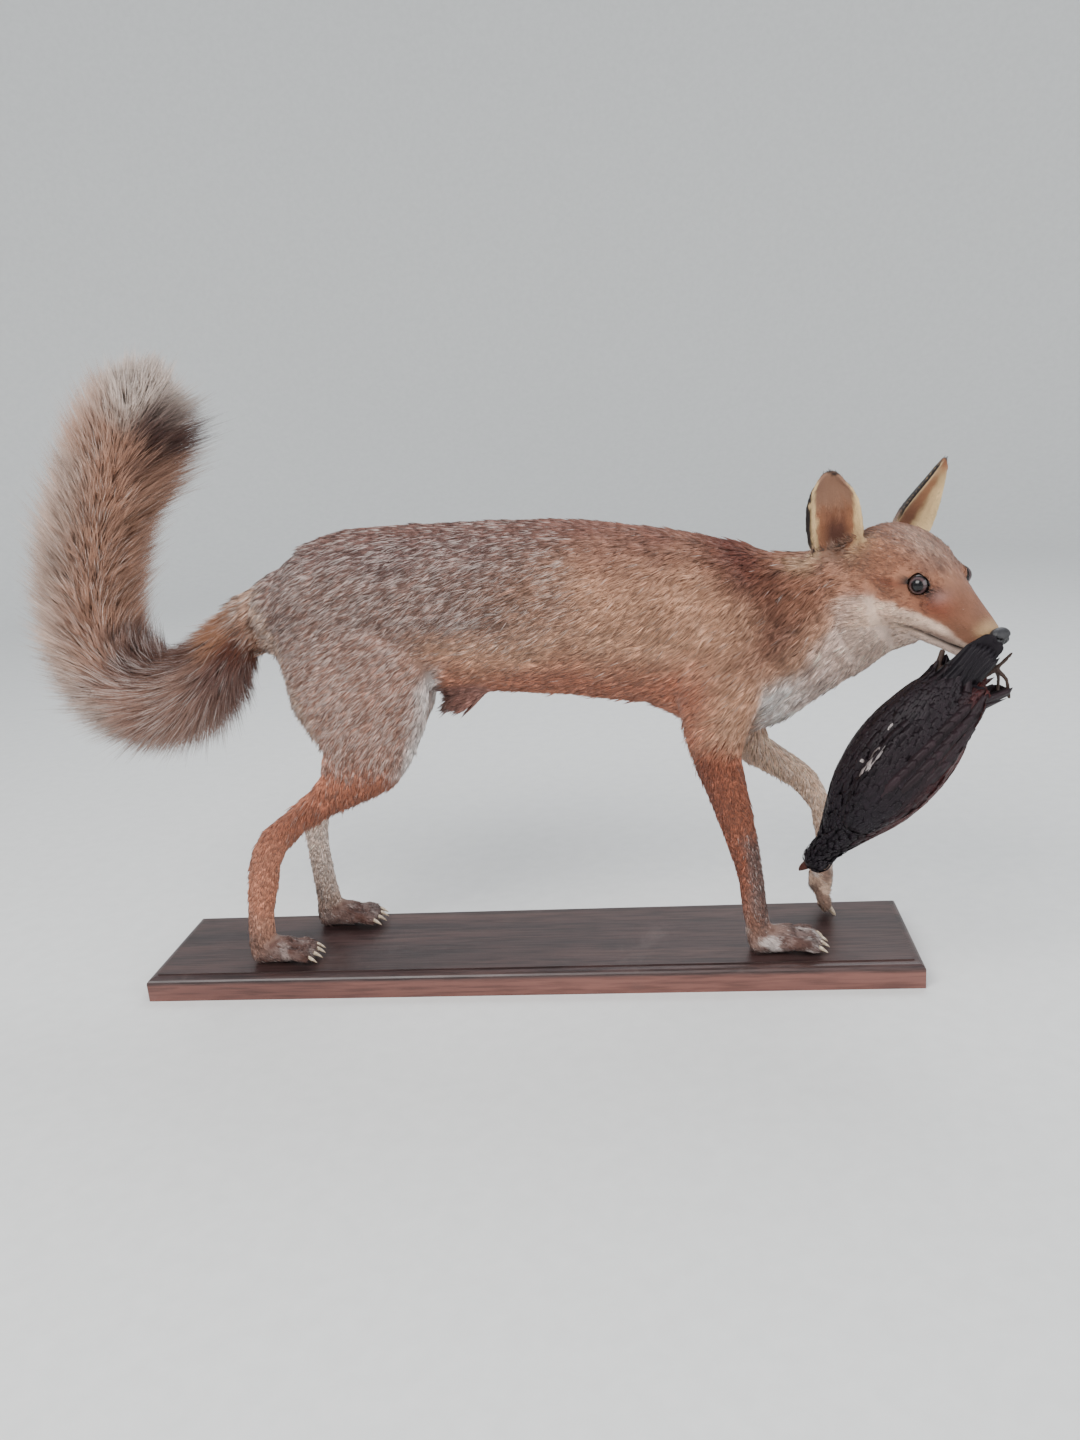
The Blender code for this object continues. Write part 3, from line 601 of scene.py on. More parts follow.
# %% Axis of the tail
TAIL_Y = 0.004
TAIL_AXIS = (
    ((-0.182, 0.342), (-0.200, 0.338), (-0.218, 0.330), (-0.240, 0.310), (-0.259, 0.288))
    + ((-0.288, 0.269), (-0.322, 0.265), (-0.349, 0.283), (-0.361, 0.318), (-0.361, 0.355))
    + ((-0.350, 0.398), (-0.332, 0.441), (-0.311, 0.480), (-0.291, 0.510), (-0.280, 0.527))
)  # (x, z) from the root to the tip


def smooth_path(points, count):
    """count places, evenly numbered, on the Catmull-Rom curve through the points."""
    points = np.array(points, float)
    padded = np.vstack([2 * points[0] - points[1], points, 2 * points[-1] - points[-2]])
    out = []
    for place in np.linspace(0, len(points) - 1, count):
        i = min(int(place), len(points) - 2)
        t = place - i
        a, b, c, d = padded[i : i + 4]
        bend, twist = 2 * a - 5 * b + 4 * c - d, 3 * b - a - 3 * c + d
        out.append(0.5 * (2 * b + (c - a) * t + bend * t**2 + twist * t**3))
    return np.array(out)


tail_line = smooth_path([(x, TAIL_Y, z) for x, z in TAIL_AXIS], 90)
tail_way = unit(np.gradient(tail_line, axis=0))


def on_tail(points):
    """How far down the tail each point is, from 0 to 1, and the axis there: place and direction."""
    gap = ((points[:, None, :] - tail_line[None]) ** 2).sum(2)
    near = gap.argmin(1)
    return near / (len(tail_line) - 1), tail_line[near], tail_way[near]


tail_length = np.linalg.norm(np.diff(tail_line, axis=0), axis=1).sum()
print("tail is", round(float(tail_length), 3), "m along its axis")

# %% [markdown]
# ## The coat's measure
# One table says how deep the coat is on each part, how long and wide its tufts are, how they stand
# and how many grow on a square centimetre. The hide is drawn in by the coat's depth, so that the
# tips of the fur, and not the skin, reach the outline of the solids.

# %% Depth, length and lie of the coat
# coat depth, tuft length and tuft width in mm, lift at the root and at the tip in degrees, and
# tufts on each square centimetre
COAT = {
    "head": (1.7, 7.0, 0.40, 16, 7, 140),
    "neck": (6.0, 16.0, 0.50, 18, 7, 84),
    "chest": (5.0, 13.5, 0.48, 16, 6, 81),
    "loin": (4.5, 12.0, 0.47, 15, 5, 84),
    "rump": (4.5, 11.5, 0.46, 16, 5, 88),
    "tail": (6.0, 36.0, 0.49, 60, 46, 96),
    "thigh": (4.0, 10.5, 0.46, 16, 5, 88),
    "shank": (2.0, 7.5, 0.55, 17, 6, 76),
    "forearm": (2.0, 7.5, 0.55, 17, 6, 76),
    "paw": (1.0, 5.0, 0.50, 20, 7, 80),
    "ear": (0.4, 3.5, 0.44, 15, 8, 70),
}
measures = share @ np.array([COAT[r] for r in REGIONS])
inset, tuft_length, tuft_width = (measures[:, i] / 1000 for i in range(3))
root_lift, tip_lift = (np.radians(measures[:, i]) for i in (3, 4))
density = measures[:, 5] * 1e4
weight = {r: share[:, i] for i, r in enumerate(REGIONS)}



def oval(a, b, at, size):
    """A soft oval in two coordinates: 1 at its middle, and falling away over size."""
    return np.exp(-(((a - at[0]) / size[0]) ** 2) - ((b - at[1]) / size[1]) ** 2)


in_head = to_head(spot)
muzzle = smooth_step(-0.030, 0.035, in_head[:, 0]) * weight["head"]
eye_gap = np.min([np.linalg.norm(spot - e[0], axis=1) for e in EYES.values()], axis=0)
by_eye = smooth_step(0.020, 0.009, eye_gap)
inset *= 1 - 0.55 * np.maximum(muzzle, by_eye)
tuft_length *= 1 - 0.52 * np.maximum(muzzle, 0.9 * by_eye)
tuft_width *= 1 - 0.25 * muzzle
along, core, way = on_tail(spot)
brush_grows = 0.30 + 0.70 * smooth_step(0.08, 0.34, along)
brush_ends = 1 - 0.40 * smooth_step(0.86, 1.0, along)
tail_share = smooth_step(0.25, 0.85, weight["tail"])
out_way = unit(spot - core)
inward = out_way[:, 0] * way[:, 2] - out_way[:, 2] * way[:, 0]
brush_ends *= 1 + 0.45 * smooth_step(0.25, 0.8, inward) * band(along, 0.80, 0.97, 0.05)
brush_ends *= 1 - 0.34 * smooth_step(0.35, 0.85, out_way[:, 1]) * smooth_step(0.3, 0.5, along)
tuft_length *= 1 + tail_share * (brush_grows * brush_ends - 1)
flat_root = tail_share * smooth_step(0.26, 0.05, along)
root_lift *= 1 - 0.72 * flat_root
tip_lift *= 1 - 0.85 * flat_root
groin_hair = oval(spot[:, 0], spot[:, 2], (-0.034, 0.250), (0.020, 0.016))
tuft_length *= 1 + 0.25 * groin_hair
root_lift *= 1 + 0.3 * groin_hair
tip_lift *= 1 + 0.3 * groin_hair
shortest, longest = 1000 * tuft_length.min(), 1000 * tuft_length.max()
print("tufts from", round(shortest, 1), "to", round(longest, 1), "mm long")

# %% [markdown]
# ## Drawing the hide in
# The trunk and legs move in along their own smoothed normals. The tail shrinks towards its axis
# instead, because a push of twenty millimetres along normals would fold its bend into itself.


# %% Shrink to the skin
CORE_SHARE = 0.47  # the tail's core against the brush
thinning = smooth_step(0.02, 0.30, along)
to_core = 1 - (1 - CORE_SHARE) * thinning
normal = unit(spread(vertex_normals(hide), 4))
drawn_in = spot - normal * inset[:, None]
shrunk = core + (spot - core) * to_core[:, None]
skin_spot = drawn_in + (shrunk - drawn_in) * tail_share[:, None]
depth = np.linalg.norm(skin_spot - spot, axis=1)
print("hide drawn in by up to", round(1000 * float(depth.max()), 1), "mm")

# %% [markdown]
# ## Lids
# A glass eye sits in clay, and the skin is tucked round it to make the lids: a nearly round
# opening, a little longer towards the nose, with a thin dark rim. Round each eye, the skin's
# vertices are moved along lines from the eye's centre. Inside the opening they go down behind the
# glass, and outside it they rest just on top of it.

# %% Tuck the lids round the eyes
LID_OPEN = math.radians(65)
LID_THICK = 0.0007


def bell(x, width):
    """1 where x is 0, and falling away over width on both sides."""
    return np.exp(-((x / width) ** 2))


def lid_places(points):
    """Moves the skin round each eye. Also returns how far each vertex is out from an opening, in
    its widths, and how near it is to one of the two corners."""
    points = points.copy()
    out_of, corners = np.full(len(points), 9.0), np.zeros(len(points))
    for centre, gaze, ahead, up in EYES.values():
        offset = points - centre
        reach = np.linalg.norm(offset, axis=1)
        way = unit(offset)
        lean = np.arccos(np.clip(way @ gaze, -1, 1))
        turn = np.arctan2(way @ up, way @ ahead)
        corner = bell(turn + 0.30, 0.32)
        tail_corner = bell(np.abs(turn) - math.pi, 0.35)
        opening = LID_OPEN * (1 - 0.17 * np.abs(np.sin(turn)) + 0.26 * corner + 0.12 * tail_corner)
        e = lean / opening
        near = (reach < 0.017) & (lean < 2.2)
        e = np.where(near, e, 9.0)
        edge = np.abs(e - 1.0) < 0.11
        lean = np.where(edge, opening, lean)
        target = np.where(e < 0.89, np.minimum(reach, EYE_RADIUS * 0.80), EYE_RADIUS + LID_THICK)
        hold = np.where(e < 0.89, 1.0, smooth_step(2.05, 1.22, e))
        reach_new = reach + (target - reach) * hold
        flat = unit(way - gaze * (way @ gaze)[:, None])
        way_new = gaze * np.cos(lean)[:, None] + flat * np.sin(lean)[:, None]
        moved = centre + way_new * reach_new[:, None]
        points = np.where(near[:, None], moved, points)
        out_of = np.minimum(out_of, e)
        corners = np.where(near, np.maximum(corner, tail_corner), corners)
    return points, out_of, corners


skin_spot, lid_gap, lid_corner = lid_places(skin_spot)
lid_rim = smooth_step(1.26 + 0.40 * lid_corner, 1.10 + 0.25 * lid_corner, lid_gap)
print("vertices on the lid rims:", int((lid_rim > 0.5).sum()))

# %% [markdown]
# ## Lips and toes
# The upper lip overhangs the lower jaw in a fine dark line that runs back and up to the corner of
# the mouth. The toes are parted by shallow furrows. Both are pressed in along the normals, by a
# bell-shaped amount that depends on the distance from a line.

# %% Press in the mouth line and the gaps between toes
LIP_X = (-0.0155, -0.0050, 0.0060, 0.0190, 0.0305, 0.0450, 0.0600)
LIP_Z = (-0.0409, -0.0425, -0.0437, -0.0450, -0.0463, -0.0460, -0.0440)
# where the toes begin (x and y), and their spread and length
PAWS = {
    "right_hind_paw": (-0.2130, -0.0340, 0.0125, 0.0270),
    "left_hind_paw": (-0.1710, 0.0380, 0.0125, 0.0270),
    "right_fore_paw": (0.2330, -0.0340, 0.0140, 0.0290),
}
skin_head = to_head(skin_spot)
lip_gap = np.abs(skin_head[:, 2] - np.interp(skin_head[:, 0], LIP_X, LIP_Z))
lip_gap += np.maximum(LIP_X[0] - skin_head[:, 0], 0)
lip_gap = np.where((weight["head"] > 0.4) & (skin_head[:, 0] > -0.03), lip_gap, 1.0)
lip_dark = bell(lip_gap, 0.0024)
press = 0.0021 * bell(lip_gap, 0.0014) * smooth_step(-0.022, -0.004, skin_head[:, 0])

# the toe furrows are pressed in here, and their mask later paints them near-black as shade in the
# creases
toe_dark = np.zeros(len(spot))
x, y, _ = skin_spot.T
for heel, middle, wide, _ in PAWS.values():
    here = (weight["paw"] > 0.5) & (np.abs(y - middle) < 0.03) & (np.abs(x - heel) < 0.05)
    for share_across in (-0.67, 0.0, 0.67):
        gap = np.abs(y - middle - wide * share_across)
        furrow = bell(gap, 0.0015) * smooth_step(heel - 0.004, heel + 0.008, x) * here
        toe_dark = np.maximum(toe_dark, furrow)
press += 0.0024 * toe_dark
normal = unit(spread(vertex_normals(hide), 2))
skin_spot = skin_spot - normal * press[:, None]
put_back(hide, skin_spot)
normal = vertex_normals(hide)
print("mouth line presses in", int((press > 0.001).sum()), "vertices")

# %% [markdown]
# ## An unwrap of the hide
# The hide is unwrapped by its own shape, as a furrier would lay it flat. Each tuft later takes a
# tiny patch of this map at its root, so that skin and coat can share one baked picture.

# %% Unwrap
def unwrapped(obj):
    """Unwraps a mesh of triangles. Returns the faces' vertices and those corners' map places."""
    mesh = obj.data
    bpy.ops.object.select_all(action="DESELECT")
    obj.select_set(True)
    bpy.context.view_layer.objects.active = obj
    mesh.uv_layers.new(name="OFBake")
    bpy.ops.object.mode_set(mode="EDIT")
    bpy.ops.mesh.select_all(action="SELECT")
    bpy.ops.uv.smart_project(angle_limit=1.15, island_margin=0.003, scale_to_bounds=True)
    bpy.ops.object.mode_set(mode="OBJECT")
    corners = numbers(mesh.loops, "vertex_index", 1, np.int32).reshape(-1, 3)
    return corners, numbers(mesh.uv_layers["OFBake"].uv, "vector", 2).reshape(-1, 3, 2)


skin = add_object("fox_skin", hide)
corner_of, corner_uv = unwrapped(skin)
print("unwrapped", len(corner_of), "faces")

# %% [markdown]
# ## The lie of the coat
# A fox's coat lies from the nose to the tail and down the legs, as if stroked that way. Each part
# gets one direction, the tail follows its axis, and the face is combed away from the nose. The
# directions are spread between neighbours and flattened onto the surface.

# %% Directions of the coat
COMB_ROUNDS = 12
LIE = {
    "head": (-1.0, 0.0, 0.0),
    "neck": (-0.62, 0.0, -0.66),
    "chest": (-0.80, 0.0, -0.55),
    "loin": (-1.0, 0.0, -0.34),
    "rump": (-0.88, 0.0, -0.50),
    "tail": (-1.0, 0.0, 0.0),
    "thigh": (-0.30, 0.0, -0.95),
    "shank": (-0.42, 0.0, -0.90),
    "forearm": (0.15, 0.0, -1.0),
    "paw": (0.95, 0.0, -0.45),
    "ear": (0.0, 0.0, 1.0),
}
print("the coat lies in", len(LIE), "directions")

# %% [markdown]
# The ears need a frame of their own too, because they stand apart from the head and turn
# separately. How far up the ear a point is and how far across are enough for every rule about them:
# which hairs line the opening, where the pale rim runs and where the black back begins.

# %% Places on the ears
# each ear's root in the head's frame, the way it rises and the way its opening faces
EARS = {
    "right_ear": ((-0.077, -0.0433, -0.014), (-0.09, -0.08, 0.99), (-0.12, -0.99, 0.0)),
    "left_ear": ((-0.081, 0.0268, -0.006), (0.43, 0.23, 0.87), (0.66, -0.75, 0.0)),
}
EAR_HEIGHT, EAR_HALF_WIDTH = 0.084, 0.0228
EAR_LEVELS = (0.0, 0.16, 0.36, 0.56, 0.74, 0.88, 1.0)
EAR_WIDTHS = (0.60, 0.80, 0.92, 0.94, 0.87, 0.70, 0.36)
FAR_EAR_WIDTHS = (0.62, 0.86, 0.92, 0.78, 0.56, 0.39, 0.18)


def ear_frame(name):
    root, rise, face = (np.array(v) for v in EARS[name])
    rise = unit(rise)
    face = unit(face - rise * (face @ rise))
    return from_head(root), rise, face, np.cross(rise, face)


def ear_places(points):
    """How far up and across an ear each point is, which way is up and which way the ear opens."""
    high, wide = np.full(len(points), -1.0), np.zeros(len(points))
    rises, faces = np.zeros((len(points), 3)), np.zeros((len(points), 3))
    best = np.full(len(points), 1e9)
    for name in EARS:
        root, rise, face, across = ear_frame(name)
        offset = points - root
        middle = np.linalg.norm(points - (root + rise * EAR_HEIGHT / 2), axis=1)
        closer = middle < best
        best = np.where(closer, middle, best)
        high = np.where(closer, offset @ rise / EAR_HEIGHT, high)
        wide = np.where(closer, offset @ across / EAR_HALF_WIDTH, wide)
        rises = np.where(closer[:, None], rise, rises)
        faces = np.where(closer[:, None], face, faces)
    return high, wide, rises, faces


print("skin reaches", round(float(ear_places(skin_spot)[0].max()), 2), "of the way up the ears")

# %% [markdown]
# The coat is combed last. Averaging the directions between neighbours is what a comb does: no two
# locks that touch point far apart.


# %% Comb the coat
def combed(points, normals):
    lie = share @ np.array([LIE[r] for r in REGIONS])
    nose = from_head((0.075, 0.0, -0.022))
    from_nose = unit(points - nose) + np.array((-0.1, 0, -0.18))
    _, _, tail_direction = on_tail(points)
    _, _, rise, _ = ear_places(points)
    lie += weight["head"][:, None] * (from_nose - np.array(LIE["head"]))
    lie += weight["tail"][:, None] * (tail_direction - np.array(LIE["tail"]))
    lie += weight["ear"][:, None] * (rise - np.array(LIE["ear"]))
    lie = spread(lie, COMB_ROUNDS)
    return unit(lie - normals * (lie * normals).sum(1)[:, None])


lie = combed(skin_spot, normal)
print("mean lie of the coat", [round(float(v), 2) for v in lie.mean(0)])

# %% [markdown]
# ## Markings
# Red foxes are not one red. This one has a rusty spine, a buff flank, an orange belly, a grizzled
# rump whose hairs are tipped with white and black, a white cheek and throat, and a tail that goes
# from rust to grey-buff with a dark patch near its end. Each marking is a soft mask: a rule about
# where on the body it lies. Skin and coat read the same rules, so they always agree.

# %% Palette
SPINE_BROWN = linear(118, 76, 70)
BUFF = linear(208, 162, 134)
BELLY_RUST = linear(190, 118, 93)
GRIZZLE = linear(132, 104, 100)
HAUNCH_PINK = linear(194, 148, 129)
DARK_BROWN = linear(82, 50, 42)
MAROON = linear(104, 58, 49)
LEG_RUST = linear(171, 103, 77)
HIND_ORANGE = linear(208, 140, 112)
LEG_TAN = linear(226, 192, 168)
PALE_FOOT = linear(124, 101, 95)
NAPE_TAN = linear(142, 95, 75)
CREAM = linear(228, 198, 178)
WHITE_HAIR = linear(240, 230, 226)
THROAT = linear(238, 214, 204)
FACE_TAN = linear(168, 117, 92)
CROWN = linear(166, 136, 120)
UNDER_EYE = linear(126, 64, 44)
MUZZLE_ROSE = linear(130, 88, 67)
LILAC = linear(140, 112, 112)
TAIL_BUFF = linear(180, 138, 116)
TAIL_GREY = linear(206, 190, 180)
TAIL_ASH = linear(144, 116, 108)
TAIL_RUST = linear(100, 50, 38)
TAIL_GOLD = linear(172, 114, 76)
BLACK_HAIR = linear(42, 28, 28)
EAR_TAN = linear(148, 98, 70)
EAR_CREAM = linear(232, 200, 150)
EAR_GREY = linear(150, 118, 100)
EAR_BLACK = linear(34, 26, 26)
print("the coat is painted from a palette, dark brown being", [round(v, 3) for v in DARK_BROWN])

# %% [markdown]
# No marking is even. A lattice of random numbers, blended softly between its corners, gives noise
# in space that skin and hair can both read at any point, as a shader's own noise could not.

# %% Soft noise
LATTICE_SIDE = 24
LATTICE = np.random.default_rng(3).random((LATTICE_SIDE,) * 3)


def cloud(points, size, shift=0.0):
    """Soft noise from 0 to 1, with lumps about size metres across."""
    at = np.asarray(points) / size + shift
    low = np.floor(at).astype(int)
    part = at - low
    part = part * part * (3 - 2 * part)
    total = np.zeros(len(at))
    for step in np.ndindex(2, 2, 2):
        corner = LATTICE[tuple(((low + step) % LATTICE_SIDE).T)]
        near_x, near_y, near_z = np.where(step, part, 1 - part).T
        total += corner * near_x * near_y * near_z
    return total


def lay(colour, mask, new):
    """Glazes a colour over what is there, as strongly as the mask says at each point."""
    colour += mask[:, None] * (np.array(new) - colour)


noise = cloud(skin_spot, 0.02)
print("noise runs from", round(float(noise.min()), 2), "to", round(float(noise.max()), 2))

# %% [markdown]
# The rules follow, part by part. Each glazes its colour over the ones before it, and two more
# numbers say what share of the hairs have white tips and what share have black ones. The trunk
# comes first: brown along the spine, frosted over the rump and the loin, buff on the flank.


# %% Trunk
# lines across the side of the body, as heights and places along it
COLLAR = ((0.250, 0.285, 0.320, 0.345, 0.368), (0.206, 0.218, 0.235, 0.226, 0.203))
THIGH_FRONT = (
    (0.174, 0.1905, 0.207, 0.230, 0.253, 0.276, 0.289),
    (-0.121, -0.1025, -0.082, -0.066, -0.060, -0.056, -0.046),
)
THIGH_BACK = ((0.243, 0.286, 0.329, 0.352), (-0.158, -0.174, -0.188, -0.194))


def trunk_markings(p, w, colour, white, black):
    x, y, z = p.T
    haunch = w["rump"] + w["thigh"]
    trunk = w["neck"] + w["chest"] + w["loin"] + haunch
    drift = 0.05 * (cloud(p, 0.035, 2.2) - 0.5)
    belly = smooth_step(0.306, 0.268, z + 0.3 * drift) * band(x, -0.04, 0.155, 0.04)
    lay(colour, 0.8 * trunk * belly, BELLY_RUST)
    lay(colour, 0.85 * trunk * smooth_step(0.345, 0.396, z + 0.4 * drift), SPINE_BROWN)
    frost = trunk * smooth_step(0.105, -0.025, x + drift)
    upper = smooth_step(0.290, 0.335, z + 0.3 * drift)
    frost *= np.maximum(upper, smooth_step(-0.035, -0.085, x + 0.3 * drift))
    lay(colour, 0.75 * frost * smooth_step(0.410, 0.385, z), GRIZZLE)
    low = smooth_step(0.345, 0.270, z + 0.4 * drift) * smooth_step(-0.045, -0.090, x) * trunk
    lay(colour, 0.9 * low, HAUNCH_PINK)
    patch = oval(x, z, (0.018, 0.342), (0.028, 0.017)) * cloud(p, 0.012, 7.7)
    lay(colour, np.clip(1.1 * patch, 0, 1) * w["loin"], DARK_BROWN)
    collar_half = 0.026 + 0.015 * smooth_step(0.325, 0.355, z)
    collar = bell(x - np.interp(z, *COLLAR) + 0.3 * drift, collar_half)
    collar *= smooth_step(0.250, 0.310, z)
    collar *= 0.76 + 0.22 * smooth_step(0.325, 0.350, z)
    lay(colour, collar * (w["neck"] + w["chest"]), MAROON)
    groin = smooth_step(0.276, 0.264, z) * band(x, -0.056, -0.008, 0.008) * (w["loin"] + w["rump"])
    edge_x = np.interp(z, *THIGH_FRONT)
    front = smooth_step(edge_x - 0.017, edge_x - 0.002, x) * smooth_step(0.300, 0.270, z)
    front *= 1 - smooth_step(0.236, 0.246, z) * smooth_step(edge_x + 0.002, edge_x + 0.012, x)
    inner = smooth_step(0.262, 0.245, z) * smooth_step(-0.056, -0.072, x)
    inner *= smooth_step(0.026, 0.014, np.abs(y - 0.003))
    pale = np.clip((front + 0.8 * inner) * haunch, 0, 1)
    lay(colour, pale, WHITE_HAIR)
    lay(colour, 0.55 * groin, LILAC)
    rear_x = np.interp(z, *THIGH_BACK)
    rear = smooth_step(rear_x + 0.006, rear_x - 0.005, x) * band(z, 0.235, 0.355, 0.02)
    lay(colour, 0.6 * rear * haunch, LEG_TAN)
    bib = smooth_step(0.200, 0.222, x + 0.2 * (z - 0.25)) * smooth_step(0.280, 0.258, z)
    bib *= smooth_step(0.048, 0.032, np.abs(y)) * (w["chest"] + w["neck"])
    lay(colour, bib, WHITE_HAIR)
    white += 0.37 * frost * smooth_step(0.412, 0.380, z)
    white += 0.06 * low + 0.5 * pale - 0.9 * groin
    white *= 1 - 0.8 * np.clip(collar + groin, 0, 1)
    black += 0.33 * frost * (1 - pale) + 0.10 * trunk * smooth_step(0.30, 0.37, z) + 0.05 * bib
    black += 0.18 * trunk * band(x, 0.02, 0.12, 0.03) * band(z, 0.27, 0.33, 0.02)


print("the dark collar starts", COLLAR[0][0], "m up")

# %% [markdown]
# The legs are rust below a slanting line, brightest on the near hind leg and paler on the far side,
# and the paws are mottled brown and cream. Noise breaks the paws up, since toes show every hair.


# %% Legs and paws
def leg_markings(p, w, colour, white, black):
    x, y, z = p.T
    far = smooth_step(0.0, 0.01, y)
    near = 1 - far
    drift = 0.02 * (cloud(p, 0.02, 6.1) - 0.5)
    hind = w["shank"] + w["thigh"]
    low_hind = smooth_step(0.232, 0.196, z + 0.35 * (x + 0.14) + drift) * hind
    lay(colour, low_hind * (1 - 0.75 * far), LEG_RUST)
    lay(colour, low_hind * near * (0.4 + 0.6 * smooth_step(0.165, 0.130, z)), HIND_ORANGE)
    lay(colour, low_hind * far, LEG_TAN)
    lay(colour, 0.4 * low_hind * far, WHITE_HAIR)
    lay(colour, 0.20 * low_hind * near * band(z, 0.125, 0.175, 0.02), MAROON)
    lay(colour, smooth_step(0.085, 0.045, z) * w["shank"] * 0.4, LEG_TAN)
    fore = (w["forearm"] + w["chest"]) * smooth_step(0.224, 0.200, z + 0.5 * drift)
    lay(colour, fore * (1 - 0.85 * far), LEG_RUST)
    lay(colour, fore * far, LEG_TAN)
    back_edge = smooth_step(0.195, 0.165, x + 0.18 * (z - 0.2))
    lay(colour, 0.45 * fore * near * back_edge, MAROON)
    strip = smooth_step(0.199, 0.207, x + 0.12 * (z - 0.06)) * smooth_step(0.150, 0.118, z)
    strip *= w["forearm"] * near
    lay(colour, 0.8 * strip, PALE_FOOT)
    legs = np.clip(low_hind + fore, 0, 1) * near
    white *= 1 - 0.95 * legs
    black *= 1 - 0.8 * legs
    black += 0.30 * strip + 0.05 * legs
    white += 0.20 * strip + 0.40 * far * (w["shank"] + w["forearm"])
    lay(colour, w["paw"], PALE_FOOT)
    lay(colour, 0.30 * w["paw"] * smooth_step(0.0, -0.05, x), DARK_BROWN)
    spots = smooth_step(0.46, 0.66, cloud(p, 0.006))
    lay(colour, 0.75 * w["paw"] * spots, DARK_BROWN)
    lifted = w["paw"] * far * smooth_step(0.10, 0.14, x)
    lay(colour, 0.75 * lifted * (1 - 0.7 * spots), LEG_TAN)
    pale_spots = smooth_step(0.52, 0.7, cloud(p, 0.009, 3.1))
    pale_spots *= 0.15 + 0.35 * smooth_step(-0.05, 0.05, x)
    lay(colour, w["paw"] * pale_spots, WHITE_HAIR)


print("paws take", round(float(weight["paw"].mean()), 3), "of the hide's points")

# %% [markdown]
# The brush changes along its length, from gold and rust at the root through ash to pale grey, and
# it has a dark edge on the inside of its bend and a dark patch near the tip. Two numbers for each
# point are enough to place all of that: how far along it is and how far inside the bend.


# %% Brush
def tail_markings(p, w, colour, white, black, reach):
    along, _, way = on_tail(p)
    out = unit(reach)
    inside = out[:, 0] * way[:, 2] - out[:, 2] * way[:, 0]
    drift = 0.10 * (cloud(p, 0.02, 8.3) - 0.5)
    along = along + drift
    tail = w["tail"]
    lay(colour, tail * smooth_step(0.04, 0.20, along), TAIL_BUFF)
    underside = smooth_step(-0.45, 0.20, -inside)
    lay(colour, 0.60 * tail * band(along, 0.02, 0.22, 0.08), TAIL_GOLD)
    lay(colour, 0.90 * tail * band(along, 0.12, 0.27, 0.06) * underside, TAIL_RUST)
    lay(colour, 0.60 * tail * band(along, 0.28, 0.50, 0.08), TAIL_ASH)
    outside = smooth_step(0.45, -0.5, inside)
    lay(colour, 0.55 * tail * outside * band(along, 0.48, 0.82, 0.06), TAIL_GREY)
    lay(colour, tail * smooth_step(0.84, 0.95, along), TAIL_GREY)
    edge = smooth_step(0.35, 0.85, inside) * band(along, 0.26, 0.50, 0.06)
    lay(colour, 0.75 * tail * edge, DARK_BROWN)
    patch = bell(along - 0.895, 0.055) * smooth_step(0.20, 0.75, inside)
    lay(colour, 0.95 * tail * patch, DARK_BROWN)
    flecks = smooth_step(0.45, 0.72, cloud(p, 0.011, 2.9)) * band(along, 0.30, 0.78, 0.08)
    lay(colour, 0.22 * tail * flecks, DARK_BROWN)
    white += tail * (0.06 + 0.12 * band(along, 0.34, 0.50, 0.06) - 0.9 * patch)
    white += 0.1 * tail * smooth_step(0.90, 0.98, along)
    black += tail * (0.05 + 0.10 * band(along, 0.42, 0.75, 0.1) + 0.4 * patch)


print("brush takes", round(float(weight["tail"].mean()), 3), "of the hide's points")

# %% [markdown]
# The head's rules are drawn in its own frame, so that each one follows the features: a red-brown
# patch in front of and below the eye, a cream stripe above the nose, a white cheek with its border
# just under the eye, and a grey-tan crown streaked with darker hair.


# %% Head and throat
CHEEK_BORDER = (
    (-0.085, -0.068, -0.055, -0.045, -0.019, -0.010, 0.0066, 0.0202, 0.0296, 0.045, 0.06),
    (-0.050, -0.034, -0.0245, -0.0225, -0.0240, -0.0265, -0.0295, -0.0308, -0.0338, -0.040, -0.042),
)
THROAT_LINE = (
    (0.240, 0.258, 0.2748, 0.2954, 0.3145, 0.330),
    (0.236, 0.246, 0.2557, 0.2639, 0.2749, 0.2835),
)
FACE_SPOTS = (
    (0.85, (0.014, -0.0170), (0.0170, 0.0095), UNDER_EYE),
    (0.50, (0.014, -0.0080), (0.0065, 0.0060), LILAC),
    (0.65, (-0.024, -0.0060), (0.0120, 0.0040), UNDER_EYE),
    (0.50, (-0.004, 0.0115), (0.0120, 0.0045), DARK_BROWN),
)  # strength, middle, size and colour


